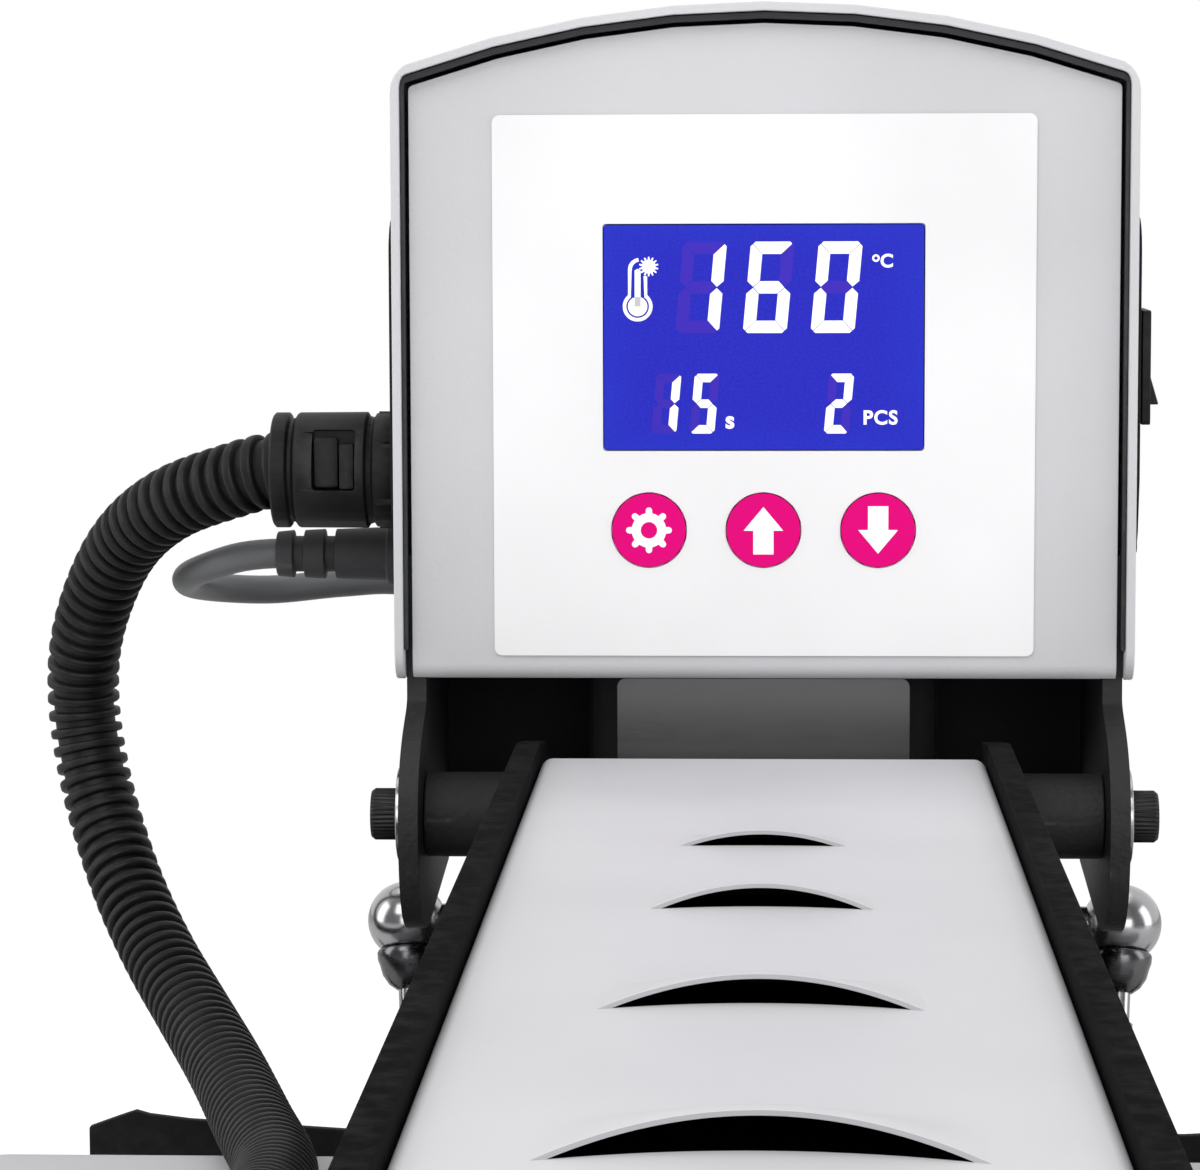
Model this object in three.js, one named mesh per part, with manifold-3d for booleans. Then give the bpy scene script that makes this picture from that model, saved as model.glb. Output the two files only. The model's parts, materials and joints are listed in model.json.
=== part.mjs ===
// Flat heat press, clamshell type with two parallel lift arms, in millimetres, +Z up.
// The group's frame: X across, Y from the handle to the column, Z from the floor.
// Every piece is written in a frame whose Y is measured back from the arm pivot.
import * as THREE from "three";
import { mergeVertices } from "three/addons/utils/BufferGeometryUtils.js";
import Module from "manifold-3d";

const wasm = await Module();
wasm.setup();

// Clearances and drawing accuracy.
const seat = 0.3; // between pieces that touch or slide
const overrun = 2; // how far a cutting solid runs past the face it cuts
const weldDistance = 1e-3; // vertices closer than this are one vertex
const roundSteps = 14; // faces round a turned piece
const cornerSteps = 2; // doubled: chords in a rounded corner
const archSteps = 4; // doubled: chords in the head's arch
const smallSteps = 8; // faces round a small turned piece
const hexagonSides = 6;

// Driving sizes of the whole press.
const pivot = { back: 237.5, height: 258.5, shaftRadius: 8 };
const frontReach = 560; // pivot to the front of the grip
const rearReach = 85; // pivot to the rear of the base

const head = {
  width: 188.6, // over the hood's side walls
  height: 170.4, // from the head's floor to the crown of its arch
  archRise: 17, // crown over shoulders
  floor: 293,
  sheet: 2.2,
  corner: 5,
  front: -5,
  rear: 80,
  sideRound: 8, // lower front corner of each side wall
};
head.crown = head.floor + head.height;

// The sizes of the head's face are written for this height and follow it.
const drawnHeight = 170.4;
const onHead = (sizes) => {
  const ratio = head.height / drawnHeight;
  const entries = Object.entries(sizes).map(([name, size]) => [name, size * ratio]);
  return Object.fromEntries(entries);
};
const liner = { sheet: 1.5, setBack: 2, depth: 6.5 };
const panel = {
  shadowGap: 1.4, // open gap round the front panel
  sheet: 2,
  front: 0.8,
  bend: 4, // radius of the bend from the face to the underside
  floorRear: 25.7,
};
// Each rise is a height over the head's floor.
const labelSizes = { side: 136.4, rise: 74.5, thickness: 0.5, corner: 1.5 };
const label = onHead(labelSizes);
label.middle = head.floor + label.rise;
const keySizes = { radius: 9.3, pitch: 28.9, rise: 38.3, proud: 0.5, length: 7 };
const key = onHead(keySizes);
key.middle = head.floor + key.rise;
const lcdSizes = { width: 80.3, height: 56.5, aboveKeys: 11.05, lensProud: 0.2 };
const lcd = onHead(lcdSizes);
lcd.middle = key.middle + key.radius + lcd.aboveKeys + lcd.height / 2;
const keySpacer = { radius: 3.2 };
const boardSizes = {
  width: 118,
  height: 112,
  thickness: 1.6,
  front: 11,
  rise: 69,
  partHeight: 6,
};
const board = onHead(boardSizes);
board.middle = head.floor + board.rise;
// Places of the openings in the side walls.
const sideRises = { gland: 51, relief: 27, rocker: 78, plateTop: 117 };
const sideRise = onHead(sideRises);
const sidePlate = {
  sheet: 2.2,
  underRelief: 5, // the plate's lower edge under the middle of the lead
  front: 14,
  rear: 74,
  corner: 9,
  taper: 14,
};
sidePlate.low = head.floor + sideRise.relief - sidePlate.underRelief;
sidePlate.high = head.floor + sideRise.plateTop;
const sideScrew = { radius: 3.4, proud: 1.8, inset: 9 };

// The two ears that carry the head and the pivot shaft.
const ear = {
  outer: 91, // distance of the outer face from the middle
  thickness: 5,
  neckFront: 4,
  neckRear: 44,
  neckTop: 66, // over the pivot
  lobeRadius: 24,
  low: 30, // below the pivot
  rear: 73.4,
  rearLow: 24,
  rearTop: 40,
  corner: 5,
};
const earBolt = {
  headRadius: 6.6,
  headLength: 6.6,
  shankRadius: 4,
  reach: 20,
  socket: 3.4,
  socketDepth: 4,
};
const earWasher = { radius: 12, thickness: 1.6 };
const spacer = { radius: 10.8 };

// Column with the cheeks that hold the shaft and the yoke behind the ears.
const column = {
  half: 45.5,
  front: 26,
  rear: 78,
  wall: 3,
  corner: 4,
  recessHalf: 36.5,
  recessDepth: 1.6,
  recessTop: 288,
  recessCorner: 8,
  recessLow: 110,
  footHalf: 72,
  footThickness: 8,
  cheek: 5,
  cheekRadius: 14,
  bossRadius: 14,
  cheekDrop: 60,
  yokeLow: 250,
  yokeSheet: 4,
  topPlate: 4,
};

// Lift arms, with the hub at the pivot and a tail that carries the strut ball.
const arm = {
  inner: 55.2,
  thickness: 6,
  topRise: 22.1, // top edge over the pivot
  drop: 22.9, // bottom edge under the pivot
  shoulder: 25, // where the top edge starts, in front of the pivot
  hubRadius: 19,
  noseRadius: 15,
  crossRear: 492,
  crossFront: 527,
  crossThickness: 9,
};
const cover = {
  rear: 25.3,
  front: 462,
  rise: 18.6, // surface over the pivot
  sheet: 1.2,
  skirt: 13,
  corner: 3,
};
cover.surface = pivot.height + cover.rise;
// The pressed louvres of the cover, from the rear to the front. Each is a
// crescent opening whose rear edge is raised as a hood.
const louvre = {
  chords: [156, 230, 324, 430], // distance of each opening from the pivot
  widths: [40, 49, 63, 75], // over each hood
  rises: [3.2, 4.5, 5.1, 6.1], // height of each hood over the cover
  mouthShare: 0.9, // width of the opening in the hood's width
  arcShare: 0.18, // depth of the opening in the hood's width
  depthShare: 0.42, // depth of the hood in its width
  archAngle: 0.75, // half angle of the hood's section, in radians
  steps: 5,
};
const hanger = {
  reach: [120, 330], // distance of each cross channel from the pivot
  width: 30,
  half: 78,
  bridge: 6,
  leg: 8,
  footLength: 24,
  footThickness: 5,
  boltHead: 6.5,
  boltHeight: 5,
};
const handle = { barRadius: 7, endRadius: 11, endLength: 5, gripWaist: 13.2 };
const tail = { back: 55, drop: 38, radius: 11 };
const ball = { radius: 9.6, middle: 95, neckRadius: 4.6, neckLength: 9 };

// Heating platen under the arms.
const platen = {
  side: 400,
  rear: 27, // behind this distance in front of the pivot there is none
  coverTop: 180,
  coverSheet: 1.5,
  coverLow: 134,
  coverEdge: 3, // radius of the cover's top edge
  coverCorner: 14,
  plateInset: 4, // from the cover's side to the plate's
  plateThickness: 22,
  plateLow: 124.7,
  bossRadius: 10,
  insulationTop: 168,
};
platen.plateSide = platen.side - 2 * platen.plateInset;
const terminal = { near: 206, length: 56, inset: 54, width: 70, height: 30 };
terminal.far = terminal.near + terminal.length;
terminal.left = terminal.inset - platen.side / 2;
terminal.right = terminal.left + terminal.width;
terminal.top = platen.coverTop + terminal.height;
const endGland = { inset: 36, drop: 14, radius: 13, length: 15, bore: 10.5 };
endGland.x = terminal.left + endGland.inset;
endGland.height = terminal.top - endGland.drop;

// Lower platen, pad and base.
const pad = { inset: 10, thickness: 8.8, corner: 8 };
pad.side = platen.side - 2 * pad.inset;
const lowerPlaten = { thickness: 15, rib: 6, ribPitch: 92, skin: 7 };
lowerPlaten.side = pad.side;
const base = {
  railMiddle: 140,
  railWidth: 40,
  railLow: 20,
  railTop: 60,
  front: 545,
  saddles: [100, 350],
  saddleWidth: 40,
  saddleSheet: 4,
  crossWidth: 40,
  strutSeat: 75,
  corner: 4,
  wall: 3,
};
const foot = { radius: 16, neck: 8, inset: 32 };
const backPlate = {
  half: 183,
  front: 80.3,
  sheet: 3,
  // outline of the top edge, as shares of the half width and of the height
  outlineShares: [
    [1, 0],
    [1, 0.9],
    [0.955, 0.985],
    [0.93, 1],
    [0.91, 0.99],
    [0.85, 0.977],
    [0.62, 0.953],
  ],
  height: 107,
};
const magnet = {
  reach: 512,
  radius: 30,
  top: 214,
  height: 34,
  postHalf: 20,
  recess: 3,
};
const striker = { radius: 32, thickness: 8, travel: 6, spindleRadius: 6 };
const knob = { radius: 24, height: 12, flutes: 12, fluteRadius: 3.2 };

// Gas struts between the base and the tails of the arms.
const strut = {
  tubeRadius: 10,
  bore: 9,
  tubeLength: 98,
  rodRadius: 4,
  rodLength: 100,
  baseX: 87,
  eyeRadius: 8,
  pinRadius: 4,
  cupRadius: 12,
  cupDepth: 15,
  lug: 5,
};

// Conduit hose with its glands, and the mains lead.
const hose = {
  radius: 10,
  rootRadius: 8.7,
  boreRadius: 7.4,
  ribPitch: 3.9,
  sides: 8,
  boreEvery: 5, // ribs for each ring of the bore
  straight: 20,
};
const gland = {
  back: 35,
  radius: 14.6,
  collar: 16,
  collarLength: 5,
  length: 31,
  bore: 10.6,
  latch: 11,
  latchHeight: 15,
  latchDepth: 1.4,
};
gland.height = head.floor + sideRise.gland;
const relief = {
  back: 55,
  radius: 7,
  tip: 6,
  length: 33,
  groove: 2.4,
  grooveDepth: 1.3,
  grooves: 3,
};
relief.height = head.floor + sideRise.relief;
const cord = { radius: 4, sides: 8, coilSides: 6, coilSteps: 24 };
const coil = {
  radius: 44,
  pitch: 8.9,
  turns: 4,
  lead: 3, // straight end of the top turn
  x: -70,
  back: 165,
};
const plug = { radius: 18, length: 34, pin: 2.4, pinLength: 19, pinPitch: 19 };
const rocker = {
  back: 35,
  width: 17,
  height: 25,
  bezel: 2.2,
  frame: 2.2,
  depth: 20,
  crown: 3.6,
};
rocker.middle = head.floor + sideRise.rocker;

// Route of the conduit's middle, in x, y from the pivot and z, from the head
// gland to the gland on the platen cover.
const hoseRoute = [
  [-106, gland.back, gland.height],
  [-117, gland.back, gland.height],
  [-128, gland.back, gland.height],
  [-140.7, 40, 340.6],
  [-158.4, 52, 333.6],
  [-172.9, 68, 322.1],
  [-182.5, 80, 307],
  [-188.5, 89, 290],
  [-189.5, 92, 273.2],
  [-186.3, 89, 254.3],
  [-181, 82, 239],
  [-173.6, 70, 224.8],
  [-163.5, 52, 212.1],
  [-150.7, 26, 201.7],
  [-137.5, -8, 194.6],
  [-124, -55, 191],
  [-113, -100, 191],
  [-110, -140, 193.5],
  [endGland.x, -166, endGland.height],
  [endGland.x, -184, endGland.height],
  [endGland.x, -203, endGland.height],
];
// Route of the mains lead from its strain relief down to the coil.
const cordRoute = [
  [-112, relief.back, relief.height],
  [-124, relief.back, relief.height],
  [-132, relief.back, relief.height],
  [-140, 56.5, 319],
  [-149, 63, 316],
  [-157, 75, 312],
  [-159, 90, 308.5],
  [-153, 106, 305.5],
  [-139, 116, 304],
  [-120, 119.5, 305.5],
  [-103, 120, 306],
  [-84, 122, 300],
  [-68, 124, 283],
  [-62, 126, 258],
  [-66, 128, 215],
  [-78, 130, 170],
  [-92, 131, 125],
  [-103, 133, 92],
  [-110, 138, 64],
  [-113.5, 148, 47],
];
// Route from the plug to the lowest turn of the coil, in the same frame.
const plugRoute = [
  [-121.5, 262, 18.3],
  [-121.5, 251, 18.3],
  [-121.5, 238, 16.5],
  [-120, 218, 9.5],
  [-117.5, 200, 5],
  [-115, 186, 4.4],
];

// Places that follow from the driving sizes.
const floorGap = seat;
const padTop = platen.plateLow - seat;
const padLow = padTop - pad.thickness;
const lowerTop = padLow - seat;
const lowerLow = lowerTop - lowerPlaten.thickness;
const saddleTop = lowerLow - seat;
const platenMiddle = -platen.rear - platen.side / 2;
const hoodInner = head.width / 2 - head.sheet;
const archHalf = head.width / 2;
const archRadius =
  (archHalf ** 2 + head.archRise ** 2) / (2 * head.archRise);
const archCentre = head.crown - archRadius;
const earInner = ear.outer - ear.thickness;
const plateOuter = head.width / 2 + seat + sidePlate.sheet;
const crossTop = cover.surface - seat;
const armOuter = arm.inner + arm.thickness;
const nose = -frontReach + arm.noseRadius;
const footTop = base.railTop + seat + column.footThickness;
const hangerTop = pivot.height - arm.drop + 1;
const footLow = platen.coverTop + seat;
const bossX = hanger.half - hanger.leg - hanger.footLength / 2;

// Finishes, one for each material of the real press.
const finish = (color, roughness, metalness) =>
  new THREE.MeshStandardMaterial({ color, roughness, metalness });
const blackSteel = finish(0x1c1c1e, 0.75, 0.35);
const hoodGrey = finish(0xcfcfd2, 0.6, 0.25);
const charcoal = finish(0x3a3b3e, 0.8, 0.1);
const labelWhite = finish(0xf4f4f5, 0.45, 0);
const lcdBlue = finish(0x2a34cf, 0.25, 0);
const magenta = finish(0xe6007e, 0.4, 0);
const blackPlastic = finish(0x18181a, 0.6, 0);
const greyPvc = finish(0x6a6c6e, 0.55, 0);
const chrome = finish(0xd8d8da, 0.12, 1);
const zinc = finish(0xb5b7ba, 0.35, 0.9);
const boltBlack = finish(0x222224, 0.45, 0.7);
const aluminium = finish(0xb9bbbe, 0.4, 0.85);
const silicone = finish(0xb8502c, 0.9, 0);
const fibre = finish(0xe6e2d8, 0.95, 0);
const boardGreen = finish(0x1f6b3a, 0.6, 0);
const rubber = finish(0x141414, 0.9, 0);

// A manifold solid from a three.js geometry, with its faces out.
function solidOf(geometry) {
  const bare = new THREE.BufferGeometry().setAttribute(
    "position",
    (geometry.index ? geometry.toNonIndexed() : geometry).getAttribute("position"),
  );
  const merged = mergeVertices(bare, weldDistance);
  return new wasm.Manifold(
    new wasm.Mesh({
      numProp: 3,
      vertProperties: merged.attributes.position.array,
      triVerts: new Uint32Array(merged.index.array),
    }),
  );
}

// The three.js geometry of a manifold solid.
function geometryOf(solid) {
  const made = solid.getMesh();
  return new THREE.BufferGeometry()
    .setAttribute("position", new THREE.BufferAttribute(made.vertProperties, 3))
    .setIndex(new THREE.BufferAttribute(made.triVerts, 1))
    .toNonIndexed();
}

const join = (...solids) => solids.reduce((whole, next) => whole.add(next));
const cut = (whole, ...tools) => tools.reduce((left, tool) => left.subtract(tool), whole);
const common = (first, second) => first.intersect(second);

// A named mesh from a solid or a geometry, with flat facets.
function piece(name, material, shape) {
  const geometry = shape.isBufferGeometry ? shape : geometryOf(shape);
  geometry.computeVertexNormals();
  const mesh = new THREE.Mesh(geometry, material);
  mesh.name = name;
  return mesh;
}

// A rectangular block between two opposite corners.
function block([x0, x1], [y0, y1], [z0, z1]) {
  const size = new THREE.Vector3(x1 - x0, y1 - y0, z1 - z0);
  const middle = new THREE.Vector3(x0 + x1, y0 + y1, z0 + z1).divideScalar(2);
  const geometry = new THREE.BoxGeometry(...size.toArray());
  return solidOf(geometry.translate(...middle.toArray()));
}

// Turns a shape's plane so that its depth runs along the named axis: its first
// coordinate is then Y for an X depth, and X for a Y or Z depth.
const turnTo = {
  x: new THREE.Matrix4().makeBasis(
    new THREE.Vector3(0, 1, 0),
    new THREE.Vector3(0, 0, 1),
    new THREE.Vector3(1, 0, 0),
  ),
  y: new THREE.Matrix4().makeBasis(
    new THREE.Vector3(1, 0, 0),
    new THREE.Vector3(0, 0, 1),
    new THREE.Vector3(0, -1, 0),
  ),
  z: new THREE.Matrix4(),
};

// A shape extruded between two places along an axis.
function prism(shape, axis, [from, to], steps = cornerSteps) {
  const geometry = new THREE.ExtrudeGeometry(shape, {
    depth: to - from,
    bevelEnabled: false,
    curveSegments: steps,
  });
  const start = axis === "y" ? -to : from;
  return solidOf(geometry.translate(0, 0, start).applyMatrix4(turnTo[axis]));
}

// A profile of [radius, place] points revolved about an axis through a point.
function turned(profile, axis, at = [0, 0, 0], steps = roundSteps) {
  const points = profile.map(([radius, place]) => new THREE.Vector2(radius, place));
  const geometry = new THREE.LatheGeometry(points, steps);
  if (axis === "x") geometry.rotateZ(-Math.PI / 2);
  if (axis === "z") geometry.rotateX(Math.PI / 2);
  return solidOf(geometry.translate(...at));
}

const disc = (radius, [from, to], axis, at, steps) =>
  turned(
    [
      [0, from],
      [radius, from],
      [radius, to],
      [0, to],
    ],
    axis,
    at,
    steps,
  );
const sleeve = (bore, radius, [from, to], axis, at, steps) =>
  turned(
    [
      [bore, from],
      [radius, from],
      [radius, to],
      [bore, to],
      [bore, from],
    ],
    axis,
    at,
    steps,
  );

// A rectangle with rounded corners about a middle point.
function roundedRectangle(width, height, radius, [u, v] = [0, 0]) {
  const [left, right] = [u - width / 2, u + width / 2];
  const [low, high] = [v - height / 2, v + height / 2];
  const shape = new THREE.Shape();
  shape.moveTo(left + radius, low);
  shape.lineTo(right - radius, low);
  shape.absarc(right - radius, low + radius, radius, -Math.PI / 2, 0, false);
  shape.absarc(right - radius, high - radius, radius, 0, Math.PI / 2, false);
  shape.absarc(left + radius, high - radius, radius, Math.PI / 2, Math.PI, false);
  shape.absarc(left + radius, low + radius, radius, Math.PI, 1.5 * Math.PI, false);
  return shape;
}

// The outline round two circles of [u, v, radius], as of a link or a lever.
function linkOutline([u0, v0, r0], [u1, v1, r1]) {
  const along = Math.atan2(v1 - v0, u1 - u0);
  const lean = Math.acos((r0 - r1) / Math.hypot(u1 - u0, v1 - v0));
  const shape = new THREE.Shape();
  shape.absarc(u0, v0, r0, along + lean, along - lean + 2 * Math.PI, false);
  shape.absarc(u1, v1, r1, along - lean, along + lean, false);
  return shape;
}

const sides = [
  ["left", -1],
  ["right", 1],
];
const points3 = (route) => route.map((point) => new THREE.Vector3(...point));

// ---- Control head ----

// The head's arched outline, drawn in from the hood's outer face by the inset.
function headOutline(inset, low) {
  const half = archHalf - inset;
  const radius = archRadius - inset;
  const corner = Math.max(head.corner - inset, head.sheet / 2);
  const shoulder = archCentre + Math.sqrt(radius ** 2 - half ** 2);
  const angle = Math.acos((half - corner) / radius);
  const shape = new THREE.Shape();
  shape.moveTo(-half, low);
  shape.lineTo(half, low);
  shape.lineTo(half, shoulder - corner);
  shape.quadraticCurveTo(
    half,
    shoulder,
    radius * Math.cos(angle),
    archCentre + radius * Math.sin(angle),
  );
  shape.absarc(0, archCentre, radius, angle, Math.PI - angle, false);
  shape.quadraticCurveTo(-half, shoulder, -half, shoulder - corner);
  shape.closePath();
  return shape;
}

// A sheet bent to the head's arch, open below.
function archSheet(inset, sheet, low, span) {
  const outer = prism(headOutline(inset, low), "y", span, archSteps);
  const inner = prism(
    headOutline(inset + sheet, low - overrun),
    "y",
    [span[0] - overrun, span[1] + overrun],
    archSteps,
  );
  return cut(outer, inner);
}

// Holes through the side walls: conduit and lead on the left, switch on the right.
function sideOpenings(depth) {
  const left = [-head.width / 2 - depth, -hoodInner + depth];
  const right = [hoodInner - depth, head.width / 2 + depth];
  return [
    disc(gland.bore, left, "x", [0, gland.back, gland.height]),
    disc(cord.radius + seat, left, "x", [0, relief.back, relief.height]),
    block(
      right,
      [rocker.back - rocker.width / 2, rocker.back + rocker.width / 2],
      [rocker.middle - rocker.height / 2, rocker.middle + rocker.height / 2],
    ),
  ];
}

function hood() {
  const sheet = archSheet(0, head.sheet, head.floor, [head.front, head.rear]);
  const side = new THREE.Shape();
  side.moveTo(head.front + head.sideRound, head.floor);
  side.lineTo(head.rear, head.floor);
  side.lineTo(head.rear, head.crown + overrun);
  side.lineTo(head.front, head.crown + overrun);
  side.lineTo(head.front, head.floor + head.sideRound);
  side.absarc(
    head.front + head.sideRound,
    head.floor + head.sideRound,
    head.sideRound,
    Math.PI,
    1.5 * Math.PI,
    false,
  );
  const keep = prism(side, "x", [-archHalf - overrun, archHalf + overrun]);
  return cut(common(sheet, keep), ...sideOpenings(overrun));
}

const keyPlaces = [
  ["key_set", -key.pitch],
  ["key_up", 0],
  ["key_down", key.pitch],
];

// Cutters for the display window and the keys in the panel and its label.
function faceOpenings(span) {
  const window = roundedRectangle(
    lcd.width + 2 * seat,
    lcd.height + 2 * seat,
    label.corner,
    [0, lcd.middle],
  );
  const holes = keyPlaces.map(([, x]) =>
    disc(key.radius + seat, span, "y", [x, 0, key.middle]),
  );
  return [prism(window, "y", span), ...holes];
}

function frontPanel() {
  const inset = head.sheet + liner.sheet + panel.shadowGap;
  const rear = ear.rear;
  const outline = headOutline(inset, head.floor);
  const outer = prism(outline, "y", [panel.front, rear], archSteps);
  // The section of the bent sheet, from the top of the face to the rear edge.
  const inside = new THREE.Shape();
  const [face, under] = [panel.front + panel.sheet, head.floor + panel.sheet];
  const bend = panel.bend - panel.sheet;
  inside.moveTo(face, head.crown + overrun);
  inside.lineTo(face, under + bend);
  inside.absarc(face + bend, under + bend, bend, Math.PI, 1.5 * Math.PI, false);
  inside.lineTo(rear + overrun, under);
  inside.lineTo(rear + overrun, head.crown + overrun);
  const hollow = prism(inside, "x", [-archHalf, archHalf]);
  const nose = new THREE.Shape();
  nose.moveTo(panel.front - overrun, head.floor - overrun);
  nose.lineTo(panel.front + panel.bend, head.floor - overrun);
  nose.lineTo(panel.front + panel.bend, head.floor);
  nose.absarc(
    panel.front + panel.bend,
    head.floor + panel.bend,
    panel.bend,
    1.5 * Math.PI,
    Math.PI,
    true,
  );
  nose.lineTo(panel.front - overrun, head.floor + panel.bend);
  const bendOutside = prism(nose, "x", [-archHalf, archHalf]);
  // The underside narrows between the ears and is notched round the column.
  const beside = [-1, 1].map((side) =>
    block(
      side > 0 ? [earInner - seat, archHalf] : [-archHalf, seat - earInner],
      [ear.neckFront - seat, rear + overrun],
      [head.floor - overrun, head.crown + overrun],
    ),
  );
  const notch = block(
    [-column.half - seat, column.half + seat],
    [panel.floorRear, rear + overrun],
    [head.floor - overrun, under + overrun],
  );
  const shell = cut(outer, hollow, bendOutside, notch, ...beside);
  const standoffs = [];
  for (const x of [-1, 1]) {
    for (const z of [-1, 1]) {
      const place = [
        (x * (board.width - board.partHeight)) / 2,
        0,
        board.middle + (z * (board.height - board.partHeight)) / 2,
      ];
      const length = [panel.front + panel.sheet / 2, board.front - seat];
      standoffs.push(disc(keySpacer.radius, length, "y", place, hexagonSides));
    }
  }
  const holes = faceOpenings([panel.front - overrun, face + overrun]);
  return join(cut(shell, ...holes), ...standoffs);
}

function membraneLabel() {
  const shape = roundedRectangle(label.side, label.side, label.corner, [
    0,
    label.middle,
  ]);
  const span = [0, label.thickness];
  const holes = faceOpenings([-overrun, label.thickness + overrun]);
  return cut(prism(shape, "y", span), ...holes);
}

function displayModule() {
  const shape = roundedRectangle(lcd.width, lcd.height, label.corner, [
    0,
    lcd.middle,
  ]);
  return prism(shape, "y", [-lcd.lensProud, board.front - seat]);
}

function controlBoard() {
  const plate = roundedRectangle(board.width, board.height, label.corner, [
    0,
    board.middle,
  ]);
  const rear = board.front + board.thickness;
  const sheet = prism(plate, "y", [board.front, rear]);
  const half = board.width / 2 - board.partHeight;
  const transformer = block(
    [-half, -half / 3],
    [rear - board.thickness / 2, rear + 4 * board.partHeight],
    [board.middle - half / 2, board.middle],
  );
  const relay = block(
    [half / 3, half],
    [rear - board.thickness / 2, rear + 3 * board.partHeight],
    [board.middle - half / 2, board.middle - half / 6],
  );
  const capacitors = [0, 1, 2].map((n) =>
    disc(
      board.partHeight,
      [rear - board.thickness / 2, rear + 3 * board.partHeight],
      "y",
      [-half / 2 + (n * half) / 2, 0, board.middle + half / 2],
      smallSteps,
    ),
  );
  return join(sheet, transformer, relay, ...capacitors);
}

function pushKey(x) {
  const face = disc(
    key.radius,
    [-key.proud, key.length - key.proud],
    "y",
    [x, 0, key.middle],
  );
  const stem = disc(
    keySpacer.radius,
    [key.length - key.proud - overrun / 2, board.front - 3 * seat],
    "y",
    [x, 0, key.middle],
    smallSteps,
  );
  return join(face, stem);
}

function headBack() {
  const from = column.rear + seat;
  const span = [from, from + head.sheet - 2 * seat];
  return prism(headOutline(head.sheet + seat, head.floor), "y", span, archSteps);
}

function sidePlateShape() {
  const { low, high, front, rear, corner, taper } = sidePlate;
  const shape = new THREE.Shape();
  shape.moveTo(front + taper, low);
  shape.lineTo(rear - corner, low);
  shape.absarc(rear - corner, low + corner, corner, -Math.PI / 2, 0, false);
  shape.lineTo(rear, high - corner);
  shape.absarc(rear - corner, high - corner, corner, 0, Math.PI / 2, false);
  shape.lineTo(front + corner, high);
  shape.absarc(front + corner, high - corner, corner, Math.PI / 2, Math.PI, false);
  shape.lineTo(front, low + 2 * taper);
  shape.quadraticCurveTo(front, low + taper, front + taper, low);
  return shape;
}

function sidePlateAt(side) {
  const inner = head.width / 2 + seat;
  const span = side > 0 ? [inner, plateOuter] : [-plateOuter, -inner];
  const plate = cut(
    prism(sidePlateShape(), "x", span),
    ...sideOpenings(sidePlate.sheet + overrun),
  );
  const heads = [sidePlate.low + sideScrew.inset, sidePlate.high - sideScrew.inset];
  const screws = heads.map((height) => {
    const dome = turned(
      [
        [0, 0],
        [sideScrew.radius, 0],
        [sideScrew.radius * Math.cos(Math.PI / 6), sideScrew.proud / 2],
        [sideScrew.radius * Math.sin(Math.PI / 6), sideScrew.proud],
        [0, sideScrew.proud],
      ].map(([radius, place]) => [radius, place + plateOuter - seat]),
      "x",
      [0, sidePlate.front + sidePlate.taper + sidePlate.corner, height],
      smallSteps,
    );
    return side > 0 ? dome : dome.mirror([1, 0, 0]);
  });
  return join(plate, ...screws);
}

function headGroup() {
  const group = new THREE.Group();
  const linerSpan = [head.front + liner.setBack, head.front + liner.setBack + liner.depth];
  const linerFloor = head.floor + head.sideRound;
  group.add(
    piece("hood", hoodGrey, hood()),
    piece(
      "head_liner",
      charcoal,
      archSheet(head.sheet + seat, liner.sheet, linerFloor, linerSpan),
    ),
    piece("front_panel", hoodGrey, frontPanel()),
    piece("membrane_label", labelWhite, membraneLabel()),
    piece("display_module", lcdBlue, displayModule()),
    piece("control_board", boardGreen, controlBoard()),
    piece("head_back", blackSteel, headBack()),
    ...keyPlaces.map(([name, x]) => piece(name, magenta, pushKey(x))),
  );
  for (const [name, side] of sides) {
    group.add(piece("side_plate_" + name, blackSteel, sidePlateAt(side)));
  }
  return group;
}

// ---- Column, ears and shaft ----

const pivotAt = [0, 0, pivot.height];
const shaftBore = pivot.shaftRadius + seat;

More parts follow.
